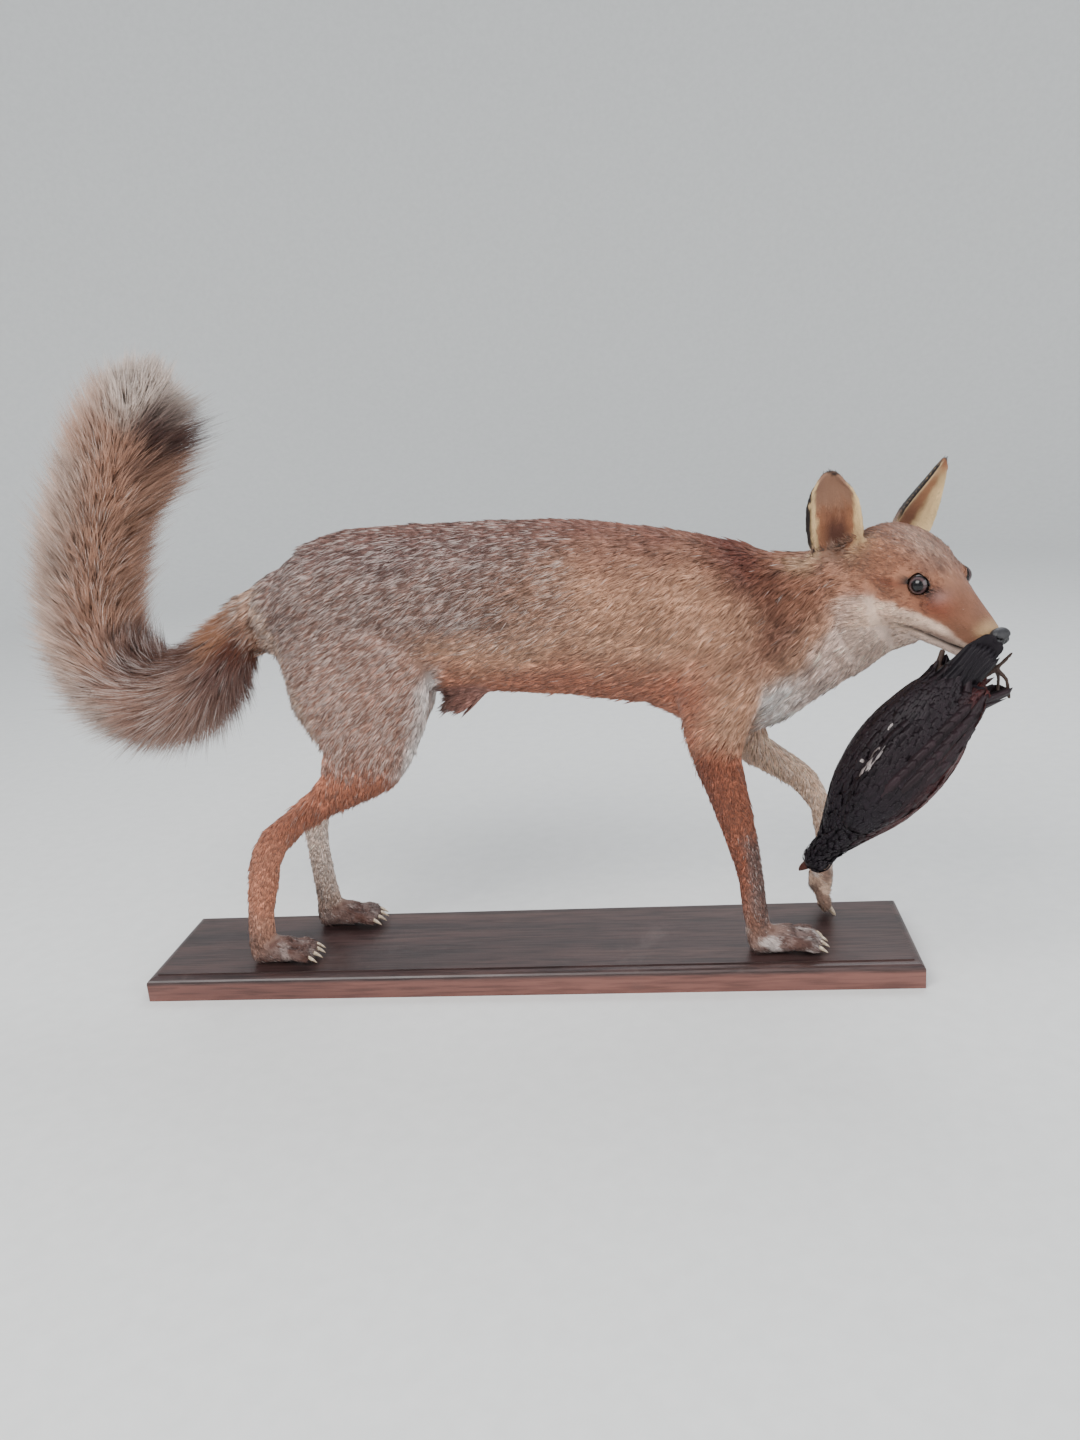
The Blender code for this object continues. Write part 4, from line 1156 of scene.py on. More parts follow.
def head_markings(p, w, colour, white, black):
    x, _, z = p.T
    hx, hy, hz = to_head(p).T
    h = w["head"]
    streak = cloud(np.stack((hx * 0.25, hy, hz), 1), 0.0026, 1.9)
    above = hz - np.interp(hx, *CHEEK_BORDER) + 0.004 * (streak - 0.5)
    pale = smooth_step(0.0045, -0.0010, above) * h
    front = x - np.interp(z, *THROAT_LINE)
    throat = smooth_step(-0.007, 0.007, front) * smooth_step(0.338, 0.322, z)
    under_jaw = h * smooth_step(-0.025, -0.055, hx) * smooth_step(-0.01, -0.03, hz)
    throat = np.clip(throat * (w["neck"] + under_jaw), 0, 1)
    lay(colour, h, FACE_TAN)
    crown = smooth_step(0.004, 0.022, hz + 0.35 * hx) * smooth_step(0.030, 0.000, hx)
    lay(colour, h * crown, CROWN)
    brow = smooth_step(0.0, 0.015, hz + 0.3 * hx)
    lay(colour, 0.50 * h * smooth_step(0.48, 0.75, streak) * brow, DARK_BROWN)
    lay(colour, 0.12 * h * smooth_step(0.50, 0.28, streak) * brow, CREAM)
    lay(colour, 0.75 * w["neck"] * smooth_step(0.305, 0.335, z), NAPE_TAN)
    lay(colour, 0.90 * h * smooth_step(0.006, 0.026, hx), MUZZLE_ROSE)
    for strength, at, size, tint in FACE_SPOTS:
        lay(colour, strength * h * oval(hx, hz, at, size), tint)
    top = smooth_step(0.045, 0.058, hx) * smooth_step(-0.034, -0.024, hz)
    lay(colour, 0.45 * h * top, EAR_CREAM)
    lay(colour, pale, CREAM)
    lay(colour, 0.70 * pale * oval(hx, hz, (0.022, -0.0395), (0.0210, 0.0044)), DARK_BROWN)
    lay(colour, 0.25 * pale * smooth_step(-0.030, -0.055, hx), THROAT)
    chin = pale * smooth_step(-0.044, -0.047, hz)
    lay(colour, 0.5 * chin, THROAT)
    lay(colour, throat * (1 - pale), THROAT)
    flecks = smooth_step(0.50, 0.84, cloud(p, 0.006, 0.7))
    lay(colour, 0.26 * np.clip(throat + pale, 0, 1) * flecks, GRIZZLE)
    grain = cloud(np.stack((hx * 0.3, hy, hz), 1), 0.0013, 3.3) - 0.5
    colour *= (1 + 0.26 * h * grain)[:, None]
    white *= 1 - 0.9 * h
    black += 0.05 * h + 0.08 * throat + 0.12 * h * smooth_step(0.0, 0.02, hz)


print("head takes", round(float(weight["head"].mean()), 3), "of the hide's points")

# %% [markdown]
# An ear is black behind and tan inside, with a pale rim, a dark brown hollow that is painted shade
# in the cup of the ear, and a fringe of cream hair at its root. The far ear shows a narrower
# opening, so its widths are listed apart.


# %% Ears
def ear_markings(p, w, colour, white, black, n):
    high, wide, _, face = ear_places(p)
    ear = w["ear"]
    inner = ear * smooth_step(-0.05, 0.25, (n * face).sum(1))
    outer = ear - inner
    far = smooth_step(0.005, 0.015, p[:, 1])
    near = 1 - far
    ragged = cloud(p, 0.0032, 4.4) - 0.5
    half = np.interp(high, EAR_LEVELS, EAR_WIDTHS) * near
    half += np.interp(high, EAR_LEVELS, FAR_EAR_WIDTHS) * far
    across = wide / half * (1 + 0.24 * ragged)
    lay(colour, outer, EAR_BLACK)
    lay(colour, outer * smooth_step(0.38, 0.14, high), CROWN)
    lay(colour, inner, EAR_TAN)
    lay(colour, 0.85 * inner * far * smooth_step(0.95, 0.80, high), EAR_CREAM)
    lay(colour, 0.7 * inner * near * smooth_step(0.50, 0.78, high + 0.15 * ragged), EAR_GREY)
    # painted shade: the cup of the ear darkens towards its root
    hollow_shade = smooth_step(0.72, 0.38, high + 0.10 * ragged)
    hollow_shade *= smooth_step(0.58, 0.22, np.abs(across - 0.05))
    lay(colour, inner * hollow_shade, DARK_BROWN)
    stripe = smooth_step(0.40, 0.15, np.abs(across - 0.12)) * smooth_step(0.92, 0.75, high) * far
    lay(colour, 0.9 * inner * stripe, EAR_TAN)
    # painted shade low in the far ear's cup
    lay(colour, 0.5 * inner * stripe * smooth_step(0.65, 0.35, high), DARK_BROWN)
    front_rim = smooth_step(0.52 + 0.25 * high, 0.70 + 0.25 * high, across + 0.10 * far)
    back_rim = smooth_step(-0.60, -0.68, across) * near
    back_rim += smooth_step(-0.18, -0.34, across) * far
    rim = np.maximum(front_rim, back_rim) * smooth_step(0.97, 0.86, high)
    lay(colour, inner * rim, EAR_CREAM)
    lay(colour, 0.9 * inner * smooth_step(0.26, 0.14, high + 0.16 * ragged), CREAM)
    dark_edge = (-0.85 + 0.10 * smooth_step(0.55, 0.95, high)) * near - 0.64 * far
    lay(colour, inner * smooth_step(dark_edge, dark_edge - 0.08, across), EAR_BLACK)
    lay(colour, ear * smooth_step(0.955, 0.985, high + 0.06 * ragged), EAR_BLACK)
    black *= 1 - ear
    white *= 1 - 0.8 * ear


print("ears take", round(float(weight["ear"].mean()), 3), "of the hide's points")

# %% [markdown]
# All the rules run in one order, over points that noise has first pushed about by a few
# millimetres, so that every border wanders as it does in hair.


# %% All the markings together
def markings(p, w, normals, reach):
    """The coat's colour at each point, and the shares of hairs with white and with black tips."""
    wander = np.stack([cloud(p, 0.02, s) - 0.5 for s in (1.3, 5.1, 9.7)], 1)
    p = p + 0.009 * wander * (1 - 0.8 * w["head"] - 0.8 * w["ear"])[:, None]
    colour = np.tile(np.array(BUFF), (len(p), 1))
    white, black = np.full(len(p), 0.02), np.full(len(p), 0.05)
    trunk_markings(p, w, colour, white, black)
    leg_markings(p, w, colour, white, black)
    tail_markings(p, w, colour, white, black, reach)
    head_markings(p, w, colour, white, black)
    ear_markings(p, w, colour, white, black, normals)
    colour *= (0.84 + 0.32 * cloud(p, 0.010, 4.4))[:, None]
    return np.clip(colour, 0.004, 0.95), np.clip(white, 0, 0.75), np.clip(black, 0, 0.75)


skin_colour = markings(skin_spot, weight, normal, skin_spot - on_tail(skin_spot)[1])[0]
print("mean coat colour", [round(float(v), 3) for v in skin_colour.mean(0)])

# %% [markdown]
# ## The skin's finish
# Between the hairs, and wherever the fur is too short to see as hairs, the skin must look like
# short flat fur itself. Its colour is the coat's, darker where the fur is long: partly the dull
# undercoat and partly painted shade at the foot of the coat. Noise stretched along the lie of the
# coat makes fine streaks in colour and bump. The lips and lids are bare and black, and the furrows
# between the toes are painted near-black as shade in their creases.

# %% Colours stored on the skin
BARE_BLACK = linear(30, 24, 24)
# bare black skin on the lips and lids, and painted shade in the furrows between the toes
bare = np.clip(np.maximum.reduce([lid_rim, lip_dark * 0.95, toe_dark * 0.85]), 0, 1)
short_haired = np.clip(weight["head"] + weight["paw"] + weight["ear"], 0, 1)
# darker than the coat where the fur is long: partly the dull undercoat, partly painted shade at the
# foot of the coat
undercoat_and_shade = skin_colour * (0.48 + 0.42 * short_haired)[:, None]
undercoat_and_shade += bare[:, None] * (np.array(BARE_BLACK) - undercoat_and_shade)


# how values are stored, by how many numbers each has
STORED = {1: ("FLOAT", "value"), 3: ("FLOAT_VECTOR", "vector"), 4: ("FLOAT_COLOR", "color")}


def give(mesh, name, values):
    """Stores a number, a direction or a colour on each vertex, for the shader to read."""
    kind, key = STORED[1 if values.ndim == 1 else values.shape[1]]
    layer = mesh.attributes.new(name, kind, "POINT")
    layer.data.foreach_set(key, np.ascontiguousarray(values, np.float32).ravel())


def with_alpha(colour):
    return np.concatenate((colour, np.ones((len(colour), 1))), 1)


give(hide, "coat", with_alpha(undercoat_and_shade))
give(hide, "bare", bare)
give(hide, "strand", skin_spot - lie * (0.86 * (skin_spot * lie).sum(1))[:, None])


print("skin carries", [a.name for a in hide.attributes if a.name in ("coat", "bare", "strand")])

# %% [markdown]
# The streaks follow the coat because the noise is read in places squeezed along its lie. Bare skin
# is left untoned and is smoother, so lips and lids look moist beside the hair.


# %% Finish of the skin
def skin_finish():
    made = Finish("fox_skin", 0.62)
    strand = made.node("Attribute", attribute_name="strand")
    # this mask holds the bare lips and lids, and the toe furrows painted near-black as shade
    bare_skin_and_toe_shade = made.node("Attribute", attribute_name="bare")
    hairs = made.noise(900, 3, None, (strand, "Vector"))
    locks = made.noise(260, 2, None, (strand, "Vector"))
    shades = [(0.30, (0.62, 0.60, 0.58)), (0.62, (1.18, 1.16, 1.14))]
    colour, streaks = made.streaked(hairs, shades)
    made.link(made.mix((bare_skin_and_toe_shade, "Fac"), (streaks, MIXED), colour), MIXED, "Base Color")
    made.roughen(bare_skin_and_toe_shade, "Fac", 0.68, 0.34)
    height = made.node("Math", {0: (hairs, "Fac"), 1: (locks, "Fac")}, operation="ADD")
    made.bump(height, "Value", 0.55, 0.0007)
    made.set("Specular IOR Level", 0.3)
    made.set("Sheen Weight", 0.05)
    made.set("Sheen Roughness", 0.4)
    return made.made


hide.materials.clear()
hide.materials.append(skin_finish())
hide.shade_smooth()
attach(skin, "root")
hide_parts(*FLESH)
print("skin finish has", len(hide.materials[0].node_tree.nodes), "nodes")

# %% [markdown]
# ## Tufts
# Hair is modelled in tufts: a few dozen hairs stuck together look like one thin, slightly bent
# spike. Each is a closed sliver of four triangles, a point at the root, a narrow waist and a point
# at the tip. Particle hair would be lost on export, while plain triangles survive everything.

# %% Where the roots go
TUFT_SHARE = 1.0


def triangle_areas(corners):
    one, two = corners[:, 1] - corners[:, 0], corners[:, 2] - corners[:, 0]
    return 0.5 * np.linalg.norm(np.cross(one, two), axis=1)


def scatter(per_area):
    """Roots at a density given on the hide's vertices: a face and the weights of its corners."""
    area = triangle_areas(skin_spot[corner_of])
    expected = np.cumsum(area * per_area[corner_of].mean(1))
    count = int(expected[-1])
    steps = (np.arange(count) + rng.random(count)) * expected[-1] / count
    face = np.searchsorted(expected, steps).clip(0, len(area) - 1)
    one, two = rng.random(count), rng.random(count)
    flip = one + two > 1
    one, two = np.where(flip, 1 - one, one), np.where(flip, 1 - two, two)
    return face, np.stack([1 - one - two, one, two], 1)


_, wide, _, opening = ear_places(skin_spot)
ear_inside = smooth_step(0.0, 0.4, (normal * opening).sum(1)) * weight["ear"]
at_lids, at_lips = smooth_step(1.30, 1.12, lid_gap), smooth_step(0.25, 0.7, lip_dark)
in_ears = 0.92 * ear_inside * smooth_step(0.85, 0.6, np.abs(wide))
bald = np.clip(np.maximum.reduce([at_lids, at_lips, in_ears]), 0, 1)
sole = smooth_step(-0.55, -0.85, normal[:, 2]) * weight["paw"]
density *= (1 - bald) * (1 - sole) * TUFT_SHARE
face, part = scatter(density)


def at_roots(values):
    picked = values[corner_of[face]]
    return (picked * (part if values.ndim == 1 else part[:, :, None])).sum(1)


roots = at_roots(skin_spot)
root_normal = unit(at_roots(normal))
root_lie = unit(at_roots(lie))
root_share = {r: at_roots(v) for r, v in weight.items()}
root_uv = (corner_uv[face] * part[:, :, None]).sum(1)
length, width = at_roots(tuft_length), at_roots(tuft_width) / math.sqrt(TUFT_SHARE)
lift_low, lift_high = at_roots(root_lift), at_roots(tip_lift)
print(len(roots), "tufts")

# %% [markdown]
# Hairs gather into locks. A small share of the tufts lead, and each of the others leans its tip
# towards its leader and takes some of its shade. That is what breaks an even field of spikes into
# the short strokes one sees in a real pelt.

# %% Locks
LOCK_SIZE = 5  # tufts in a lock


def leaders(points, share_of):
    """For each point, the nearest of a random few of them."""
    chosen = rng.permutation(len(points))[: max(1, len(points) // share_of)]
    tree = KDTree(len(chosen))
    for i, place in zip(chosen.tolist(), points[chosen].tolist()):
        tree.insert(place, i)
    tree.balance()
    return np.array([tree.find(place)[1] for place in points.tolist()])


leader = leaders(roots + 0.35 * length[:, None] * root_lie, LOCK_SIZE)
print(len(np.unique(leader)), "locks")

# %% [markdown]
# ## Growing the tufts
# Each tuft leaves the skin at the root's lift, bends down to the tip's lift and wanders a little to
# the side. Its vertices carry a colour: dark at the root, partly the hair's dull base and partly
# painted shade deep in the coat, the marking's colour along the shaft, and white or black at the
# tips that need it.


# %% Shape of every tuft
def jitter(count, size):
    return rng.normal(0.0, size, count)


def varied(own, shared):
    """A random share for each tuft, and one for its whole lock."""
    return jitter(len(roots), own) + jitter(len(roots), shared)[leader]


tail_part = root_share["tail"]
head_part = root_share["head"]
short = np.clip(root_share["paw"] + root_share["ear"] + 0.6 * head_part, 0, 1)
sway = jitter(len(roots), 0.16)[leader] + jitter(len(roots), 0.11)
across = np.cross(root_normal, root_lie)
heading = unit(root_lie * np.cos(sway)[:, None] + across * np.sin(sway)[:, None])
across = np.cross(root_normal, heading)
length = length * np.exp(varied(0.16, 0.10))
width = width * np.exp(jitter(len(roots), 0.18))
ruffled = 0.55 + 0.6 * tail_part
lift_low = lift_low + ruffled * varied(0.07, 0.06)
lift_high = lift_high + ruffled * jitter(len(roots), 0.06)


def rising(angle):
    return heading * np.cos(angle)[:, None] + root_normal * np.sin(angle)[:, None]


base = roots - 0.0008 * root_normal
waist = base + rising(lift_low) * (0.40 * length)[:, None]
tip = waist + rising(lift_high) * (0.60 * length)[:, None]
gather = (0.34 - 0.15 * short - 0.06 * tail_part)[:, None]
tip = tip + gather * (tip[leader] - tip)
waist = waist + 0.35 * gather * (waist[leader] - waist)
print("tufts are", round(1000 * float(length.mean()), 1), "mm long on average")

# %% [markdown]
# Hairs are banded: dull at the root, the marking's colour along the shaft, and on some of them a
# white or a black tip. Whether a tuft gets one is decided by a rank from 0 to 1, so that the shares
# asked for come out exactly. The dull root is also painted shade, deep in the coat where little
# light reaches, and pale or short hair and the brush get less of it.

# %% Colour of every tuft
from_axis = roots - on_tail(roots)[1]
shaft, white_share, black_share = markings(roots, root_share, root_normal, from_axis)
pick = 0.55 * rng.random(len(roots)) + 0.45 * rng.random(len(roots))[leader]
pick = (pick.argsort().argsort() + 0.5) / len(pick)
is_white = pick < white_share
is_black = pick > 1 - black_share
shaft = shaft * np.exp(varied(0.12, 0.12) * (1 - 0.4 * tail_part - 0.1 * head_part))[:, None]
bright = smooth_step(0.30, 0.60, shaft.mean(1))
# the root is darker than the shaft: the hair's dull base, and painted shade deep in the coat
root_tone_and_shade = 0.38 + 0.35 * short + 0.16 * tail_part + 0.30 * bright * (1 - tail_part)
under = shaft * np.clip(root_tone_and_shade, 0, 0.9)[:, None]
tip_colour = shaft * (1.10 - 0.15 * tail_part[:, None])
plain = shaft.copy()
for picked, hair, on_tip, on_shaft in (
    (is_white, np.array(WHITE_HAIR), 0.62, 0.26),
    (is_black, np.array(BLACK_HAIR), 0.65, 0.35),
):
    tip_colour[picked] = plain[picked] + on_tip * (hair - plain[picked])
    shaft[picked] += on_shaft * (hair - shaft[picked])
print("white-tipped", int(is_white.sum()), "black-tipped", int(is_black.sum()))

# %% [markdown]
# ## From numbers to meshes
# All tufts of a part are written as one joined mesh straight from arrays, which takes a moment,
# where an operator per tuft would take hours. Each tuft's patch of the unwrap is three thousandths
# of the map across, placed where its root is.

# %% Build the tuft meshes
PATCH = 0.0030
TWO_WAYS = ((-0.5, 0.22), (0.5, 0.22))  # across and up, in tuft widths
THREE_WAYS = ((-0.5, -0.18), (0.5, -0.18), (0.0, 0.36))
PATCH_WAYS = ((-0.5, 0.0), (0.5, 0.0), (0.0, 0.25))


def mesh_of(name, points, faces, material):
    mesh = bpy.data.meshes.new(name)
    mesh.vertices.add(len(points))
    mesh.vertices.foreach_set("co", points.astype(np.float32).ravel())
    mesh.loops.add(faces.size)
    mesh.loops.foreach_set("vertex_index", faces.astype(np.int32).ravel())
    mesh.polygons.add(len(faces))
    mesh.polygons.foreach_set("loop_start", np.arange(0, faces.size, 3, dtype=np.int32))
    mesh.update(calc_edges=True)
    mesh.shade_smooth()
    return add_object(name, mesh, material)


def patch_map(mesh, places, faces):
    layer = mesh.uv_layers.new(name="OFBake")
    layer.uv.foreach_set("vector", places[faces.ravel()].astype(np.float32).ravel())


print("a tuft's patch of the map is", PATCH, "wide")

# %% [markdown]
# A closed sliver keeps its shading from both sides and exports as an ordinary solid. Feathers are
# the same thing, only wide and flat, so one function makes both.


# %% Slivers
def sliver_faces(sections, sides):
    """Faces of one closed sliver. With two sides to a ring, a keel runs from root to tip."""
    last = 1 + sides * sections
    if sides == 2:
        left, right = list(range(1, last, 2)) + [last], list(range(2, last, 2)) + [last]
        faces = [(0, 1, 2), (last - 2, last, last - 1)]
        for a in range(1, last - 2, 2):
            faces += [(a, a + 2, a + 3), (a, a + 3, a + 1)]
        faces += [(0, b, a) for a, b in zip(left, left[1:])]
        return faces + [(0, a, b) for a, b in zip(right, right[1:])]
    faces, upper = [], sides * (sections - 1)
    for j in range(sides):
        a, b = 1 + j, 1 + (j + 1) % sides
        faces += [(0, b, a), (a + upper, b + upper, last)]
        for k in range(0, upper, sides):
            faces += [(a + k, b + k, b + k + sides), (a + k, b + k + sides, a + k + sides)]
    return faces


def spikes(name, material, start, rings, end, across, up, width, places, ways):
    """Closed slivers as one mesh. Ends are (points, colours), rings (points, size, colours)."""
    count, sections, sides = len(width), len(rings), len(ways)
    per = 2 + sides * sections
    points, colours = np.zeros((count, per, 3)), np.zeros((count, per, 3))
    spots = np.repeat(places[:, None], per, 1)
    points[:, 0], colours[:, 0] = start
    points[:, -1], colours[:, -1] = end
    spots[:, 0, 1] -= PATCH / 2
    spots[:, -1, 1] += PATCH / 2
    for k, (place, size, colour) in enumerate(rings):
        for j, (a, b) in enumerate(ways):
            at = 1 + sides * k + j
            points[:, at] = place + (across * a + up * b) * (width * size)[:, None]
            colours[:, at] = colour
            spots[:, at] += np.array(PATCH_WAYS[j]) * PATCH
            spots[:, at, 1] += PATCH * (k - (sections - 1) / 2) * 0.3
    first = (np.arange(count) * per)[:, None, None]
    faces = (np.array(sliver_faces(sections, sides))[None] + first).reshape(-1, 3)
    made = mesh_of(name, points.reshape(-1, 3), faces, material)
    give(made.data, "coat", with_alpha(np.clip(colours.reshape(-1, 3), 0, 1)))
    patch_map(made.data, spots.reshape(-1, 2), faces)
    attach(made, "root")
    print(name, len(faces), "triangles")
    return made


print("a vane with three rings has", len(sliver_faces(3, 3)), "faces")

# %% [markdown]
# A tuft of fur is then a sliver with one ring, its waist, and every number it needs already stands
# in the arrays above. Picking rows from them is all it takes to grow one part of the coat.


# %% A mesh of tufts
def grow(name, which, ways, material):
    """One mesh of the tufts numbered in which, each with a waist of two or three corners."""
    made = spikes(
        name,
        material,
        (base[which], under[which]),
        [(waist[which], 1.0, shaft[which])],
        (tip[which], tip_colour[which]),
        across[which],
        root_normal[which],
        width[which],
        root_uv[which],
        ways,
    )
    return made


print("a tuft has", len(sliver_faces(1, 2)), "faces, in the brush", len(sliver_faces(1, 3)))

# %% [markdown]
# Hair is a little glossy, and it scatters light at its edges, which a touch of sheen gives. Its
# colour comes from the vertices, with fine noise over it so that a tuft reads as many hairs.


# %% Finish of the fur
def fur_finish():
    made = Finish("fox_fur", 0.56)
    fibre = made.noise(1400, 2)
    shades = [(0.30, (0.84, 0.82, 0.80)), (0.66, (1.12, 1.11, 1.10))]
    made.link(made.streaked(fibre, shades)[1], MIXED, "Base Color")
    made.roughen(fibre, "Fac", 0.48, 0.66)
    made.set("Specular IOR Level", 0.35)
    made.set("Sheen Weight", 0.08)
    made.set("Sheen Roughness", 0.35)
    return made.made


fur = fur_finish()
print("fur finish has", len(fur.node_tree.nodes), "nodes")

# %% [markdown]
# The coat is grown part by part, so that no mesh passes the limit on triangles and each part can be
# hidden or changed by itself. A tuft belongs to the part that has the largest share in its root.

# %% Grow the coat
main_region = np.array([root_share[r] for r in REGIONS]).argmax(0)
GROUPS = {
    "fur_head": ("head", "ear"),
    "fur_neck": ("neck",),
    "fur_chest": ("chest",),
    "fur_loin": ("loin",),
    "fur_rump": ("rump",),
    "fur_thighs": ("thigh",),
    "fur_hind_legs": ("shank",),
    "fur_fore_legs": ("forearm", "paw"),
}
MOST_TRIANGLES = 190_000


def grow_group(name, which, ways):
    """Grows one group, in as many meshes as keep each under the limit."""
    lots = max(1, math.ceil(len(which) * len(sliver_faces(1, len(ways))) / MOST_TRIANGLES))
    which = which[np.argsort(roots[which, 0], kind="stable")]
    for i, lot in enumerate(np.array_split(which, lots)):
        grow(name if lots == 1 else f"{name}_{i + 1}", lot, ways, fur)


for name, members in GROUPS.items():
    mine = np.isin(main_region, [REGIONS.index(r) for r in members])
    grow_group(name, np.where(mine)[0], TWO_WAYS)

# %% [markdown]
# ## The brush
# Tail hair is about four centimetres long. It springs away from the core, then leans back along
# it. Its tufts have a waist of three corners, so that they look round from every side.

# %% Grow the brush
brush = np.where(main_region == REGIONS.index("tail"))[0]
grow_group("fur_tail", brush, THREE_WAYS)
print("brush has", len(brush), "tufts")

# %% [markdown]
# ## Glass eyes
# The eyes are blown glass, painted from behind: a wide dark pupil, a grey-brown iris with fine
# spokes, and a dark ring at its edge, all under a clear dome. A ball with a slight bulge towards
# the gaze carries the angle from that gaze on its vertices, and a colour ramp reads it.


# %% A ball for the eyes and the nose
def ball_points(rows, columns):
    """Directions over a ball, poles along Z, and the triangles between them."""
    lean = np.linspace(0, math.pi, rows)
    turn = np.linspace(0, 2 * math.pi, columns, endpoint=False)
    a, b = np.meshgrid(lean, turn, indexing="ij")
    ways = np.stack([np.sin(a) * np.cos(b), np.sin(a) * np.sin(b), np.cos(a)], 2)
    ways = np.vstack([ways[1:-1].reshape(-1, 3), (0, 0, 1), (0, 0, -1)])
    top, bottom, low_row = len(ways) - 2, len(ways) - 1, (rows - 3) * columns
    faces = []
    for j in range(columns):
        k = (j + 1) % columns
        for i in range(rows - 3):
            p, q = i * columns, (i + 1) * columns
            faces += [(p + j, q + j, q + k), (p + j, q + k, p + k)]
        faces += [(top, j, k), (bottom, low_row + k, low_row + j)]
    return ways, np.array(faces)


ways, ball_faces = ball_points(49, 64)
print("a ball has", len(ways), "points")

# %% [markdown]
# The whole eye is painted by one ramp over that angle, and the clear dome is the shader's own coat.
# A separate clear shell would look the same and double the faces.


# %% Glass
def glass_finish():
    made = Finish("eye_glass", 0.08)
    ring = made.node("Attribute", attribute_name="ring")
    rays = made.node("Attribute", attribute_name="rays")
    spokes = made.noise(9, 4, None, (rays, "Vector"))
    spoke_tone = made.ramp(spokes, "Fac", [(0.3, (0.55, 0.5, 0.5)), (0.7, (1.25, 1.2, 1.15))])
    iris = made.ramp(
        ring,
        "Fac",
        [
            (0.00, (0.002, 0.002, 0.003)),
            (0.270, (0.002, 0.002, 0.003)),
            (0.295, linear(58, 44, 42)),
            (0.38, linear(88, 70, 74)),
            (0.44, linear(70, 54, 54)),
            (0.48, linear(16, 12, 13)),
            (1.00, linear(10, 8, 9)),
        ],
    )
    painted = made.mix(1.0, (iris, "Color"), (spoke_tone, "Color"), "MULTIPLY")
    made.link(painted, MIXED, "Base Color")
    made.set("Specular IOR Level", 0.0)
    made.set("Coat Weight", 1.0)
    made.set("Coat Roughness", 0.02)
    made.set("Coat IOR", 1.45)
    return made.made


glass = glass_finish()
print("glass finish has", len(glass.node_tree.nodes), "nodes")

# %% [markdown]
# Each eye is turned to its own gaze. One of the two is a mirror image, so its faces are listed the
# other way round to keep them facing out.

# %% Set the eyes
lean = np.arccos(np.clip(ways[:, 2], -1, 1))
bulge = EYE_RADIUS * (1 + 0.045 * bell(lean, 0.55))
rays = unit(ways[:, :2]) @ np.eye(2, 3) + 0.15 * ways
for name, (centre, gaze, ahead, up) in EYES.items():
    turned = ways[:, :1] * ahead + ways[:, 1:2] * up + ways[:, 2:] * gaze
    mirrored = np.dot(np.cross(ahead, up), gaze) < 0
    faces_out = ball_faces[:, ::-1] if mirrored else ball_faces
    eye = mesh_of(name + "_glass", centre + turned * bulge[:, None], faces_out, glass)
    give(eye.data, "ring", lean / math.pi * 1.6)
    give(eye.data, "rays", rays)
    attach(eye, "root")
    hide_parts(name)
print("eyes set")

# %% [markdown]
# ## The nose
# The bare tip of the nose is black, finely pebbled and faintly shiny, with two comma-shaped
# nostrils and a groove down the middle. It starts as a ball, and soft dents make the rest.


# %% Nose
def nose_finish():
    made = Finish("nose_skin", 0.4)
    pebbles = made.node("TexVoronoi", {"Scale": 1500, "Vector": (made.node("TexCoord"), "Object")})
    blotch = made.noise(220, 3)
    tone = made.ramp(blotch, "Fac", [(0.3, linear(22, 21, 23)), (0.7, linear(44, 42, 45))])
    made.link(tone, "Color", "Base Color")
    made.roughen(blotch, "Fac", 0.30, 0.50)
    made.bump(pebbles, "Distance", 0.45, 0.0004)
    return made.made


NOSE_AT, NOSE_HALF = np.array((0.0650, 0.0, -0.0275)), np.array((0.0068, 0.0092, 0.0072))
NOSTRIL_DEPTHS, NOSTRIL_SIZE = (0.42, 0.26), 0.20
shape = ways[:, [2, 0, 1]]  # the ball's poles along the head's X
swell = 1 + 0.10 * np.abs(shape[:, 1]) * (shape[:, 2] > 0) * shape[:, 2]
for side in (-1, 1):
    dents = (0.80, side * 0.50, -0.05), (0.52, side * 0.80, 0.02)
    for way, depth in zip(dents, NOSTRIL_DEPTHS):
        off = np.linalg.norm(shape - unit(np.array(way)), axis=1)
        swell -= depth * bell(off, NOSTRIL_SIZE)
groove = bell(shape[:, 1], 0.10) * smooth_step(0.25, -0.3, shape[:, 2]) * (shape[:, 0] > 0)
swell -= 0.12 * groove
nose_spot = from_head(NOSE_AT + shape * NOSE_HALF * swell[:, None])
nose = mesh_of("nose", nose_spot, ball_faces, nose_finish())
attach(nose, "root")
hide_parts("nose_pad")
print("nose", len(nose.data.polygons), "faces")

# %% [markdown]
# ## Claws
# Each toe ends in a blunt, curved claw of yellowish horn, clear of the fur. A claw is a short cone
# bent downwards, and one function lays a ring of points along its curve.


# %% One claw
CLAW_LONG, CLAW_RADIUS = 0.0088, 0.0019
TOES = (-1.0, -0.34, 0.34, 1.0)  # shares of the way across the paw


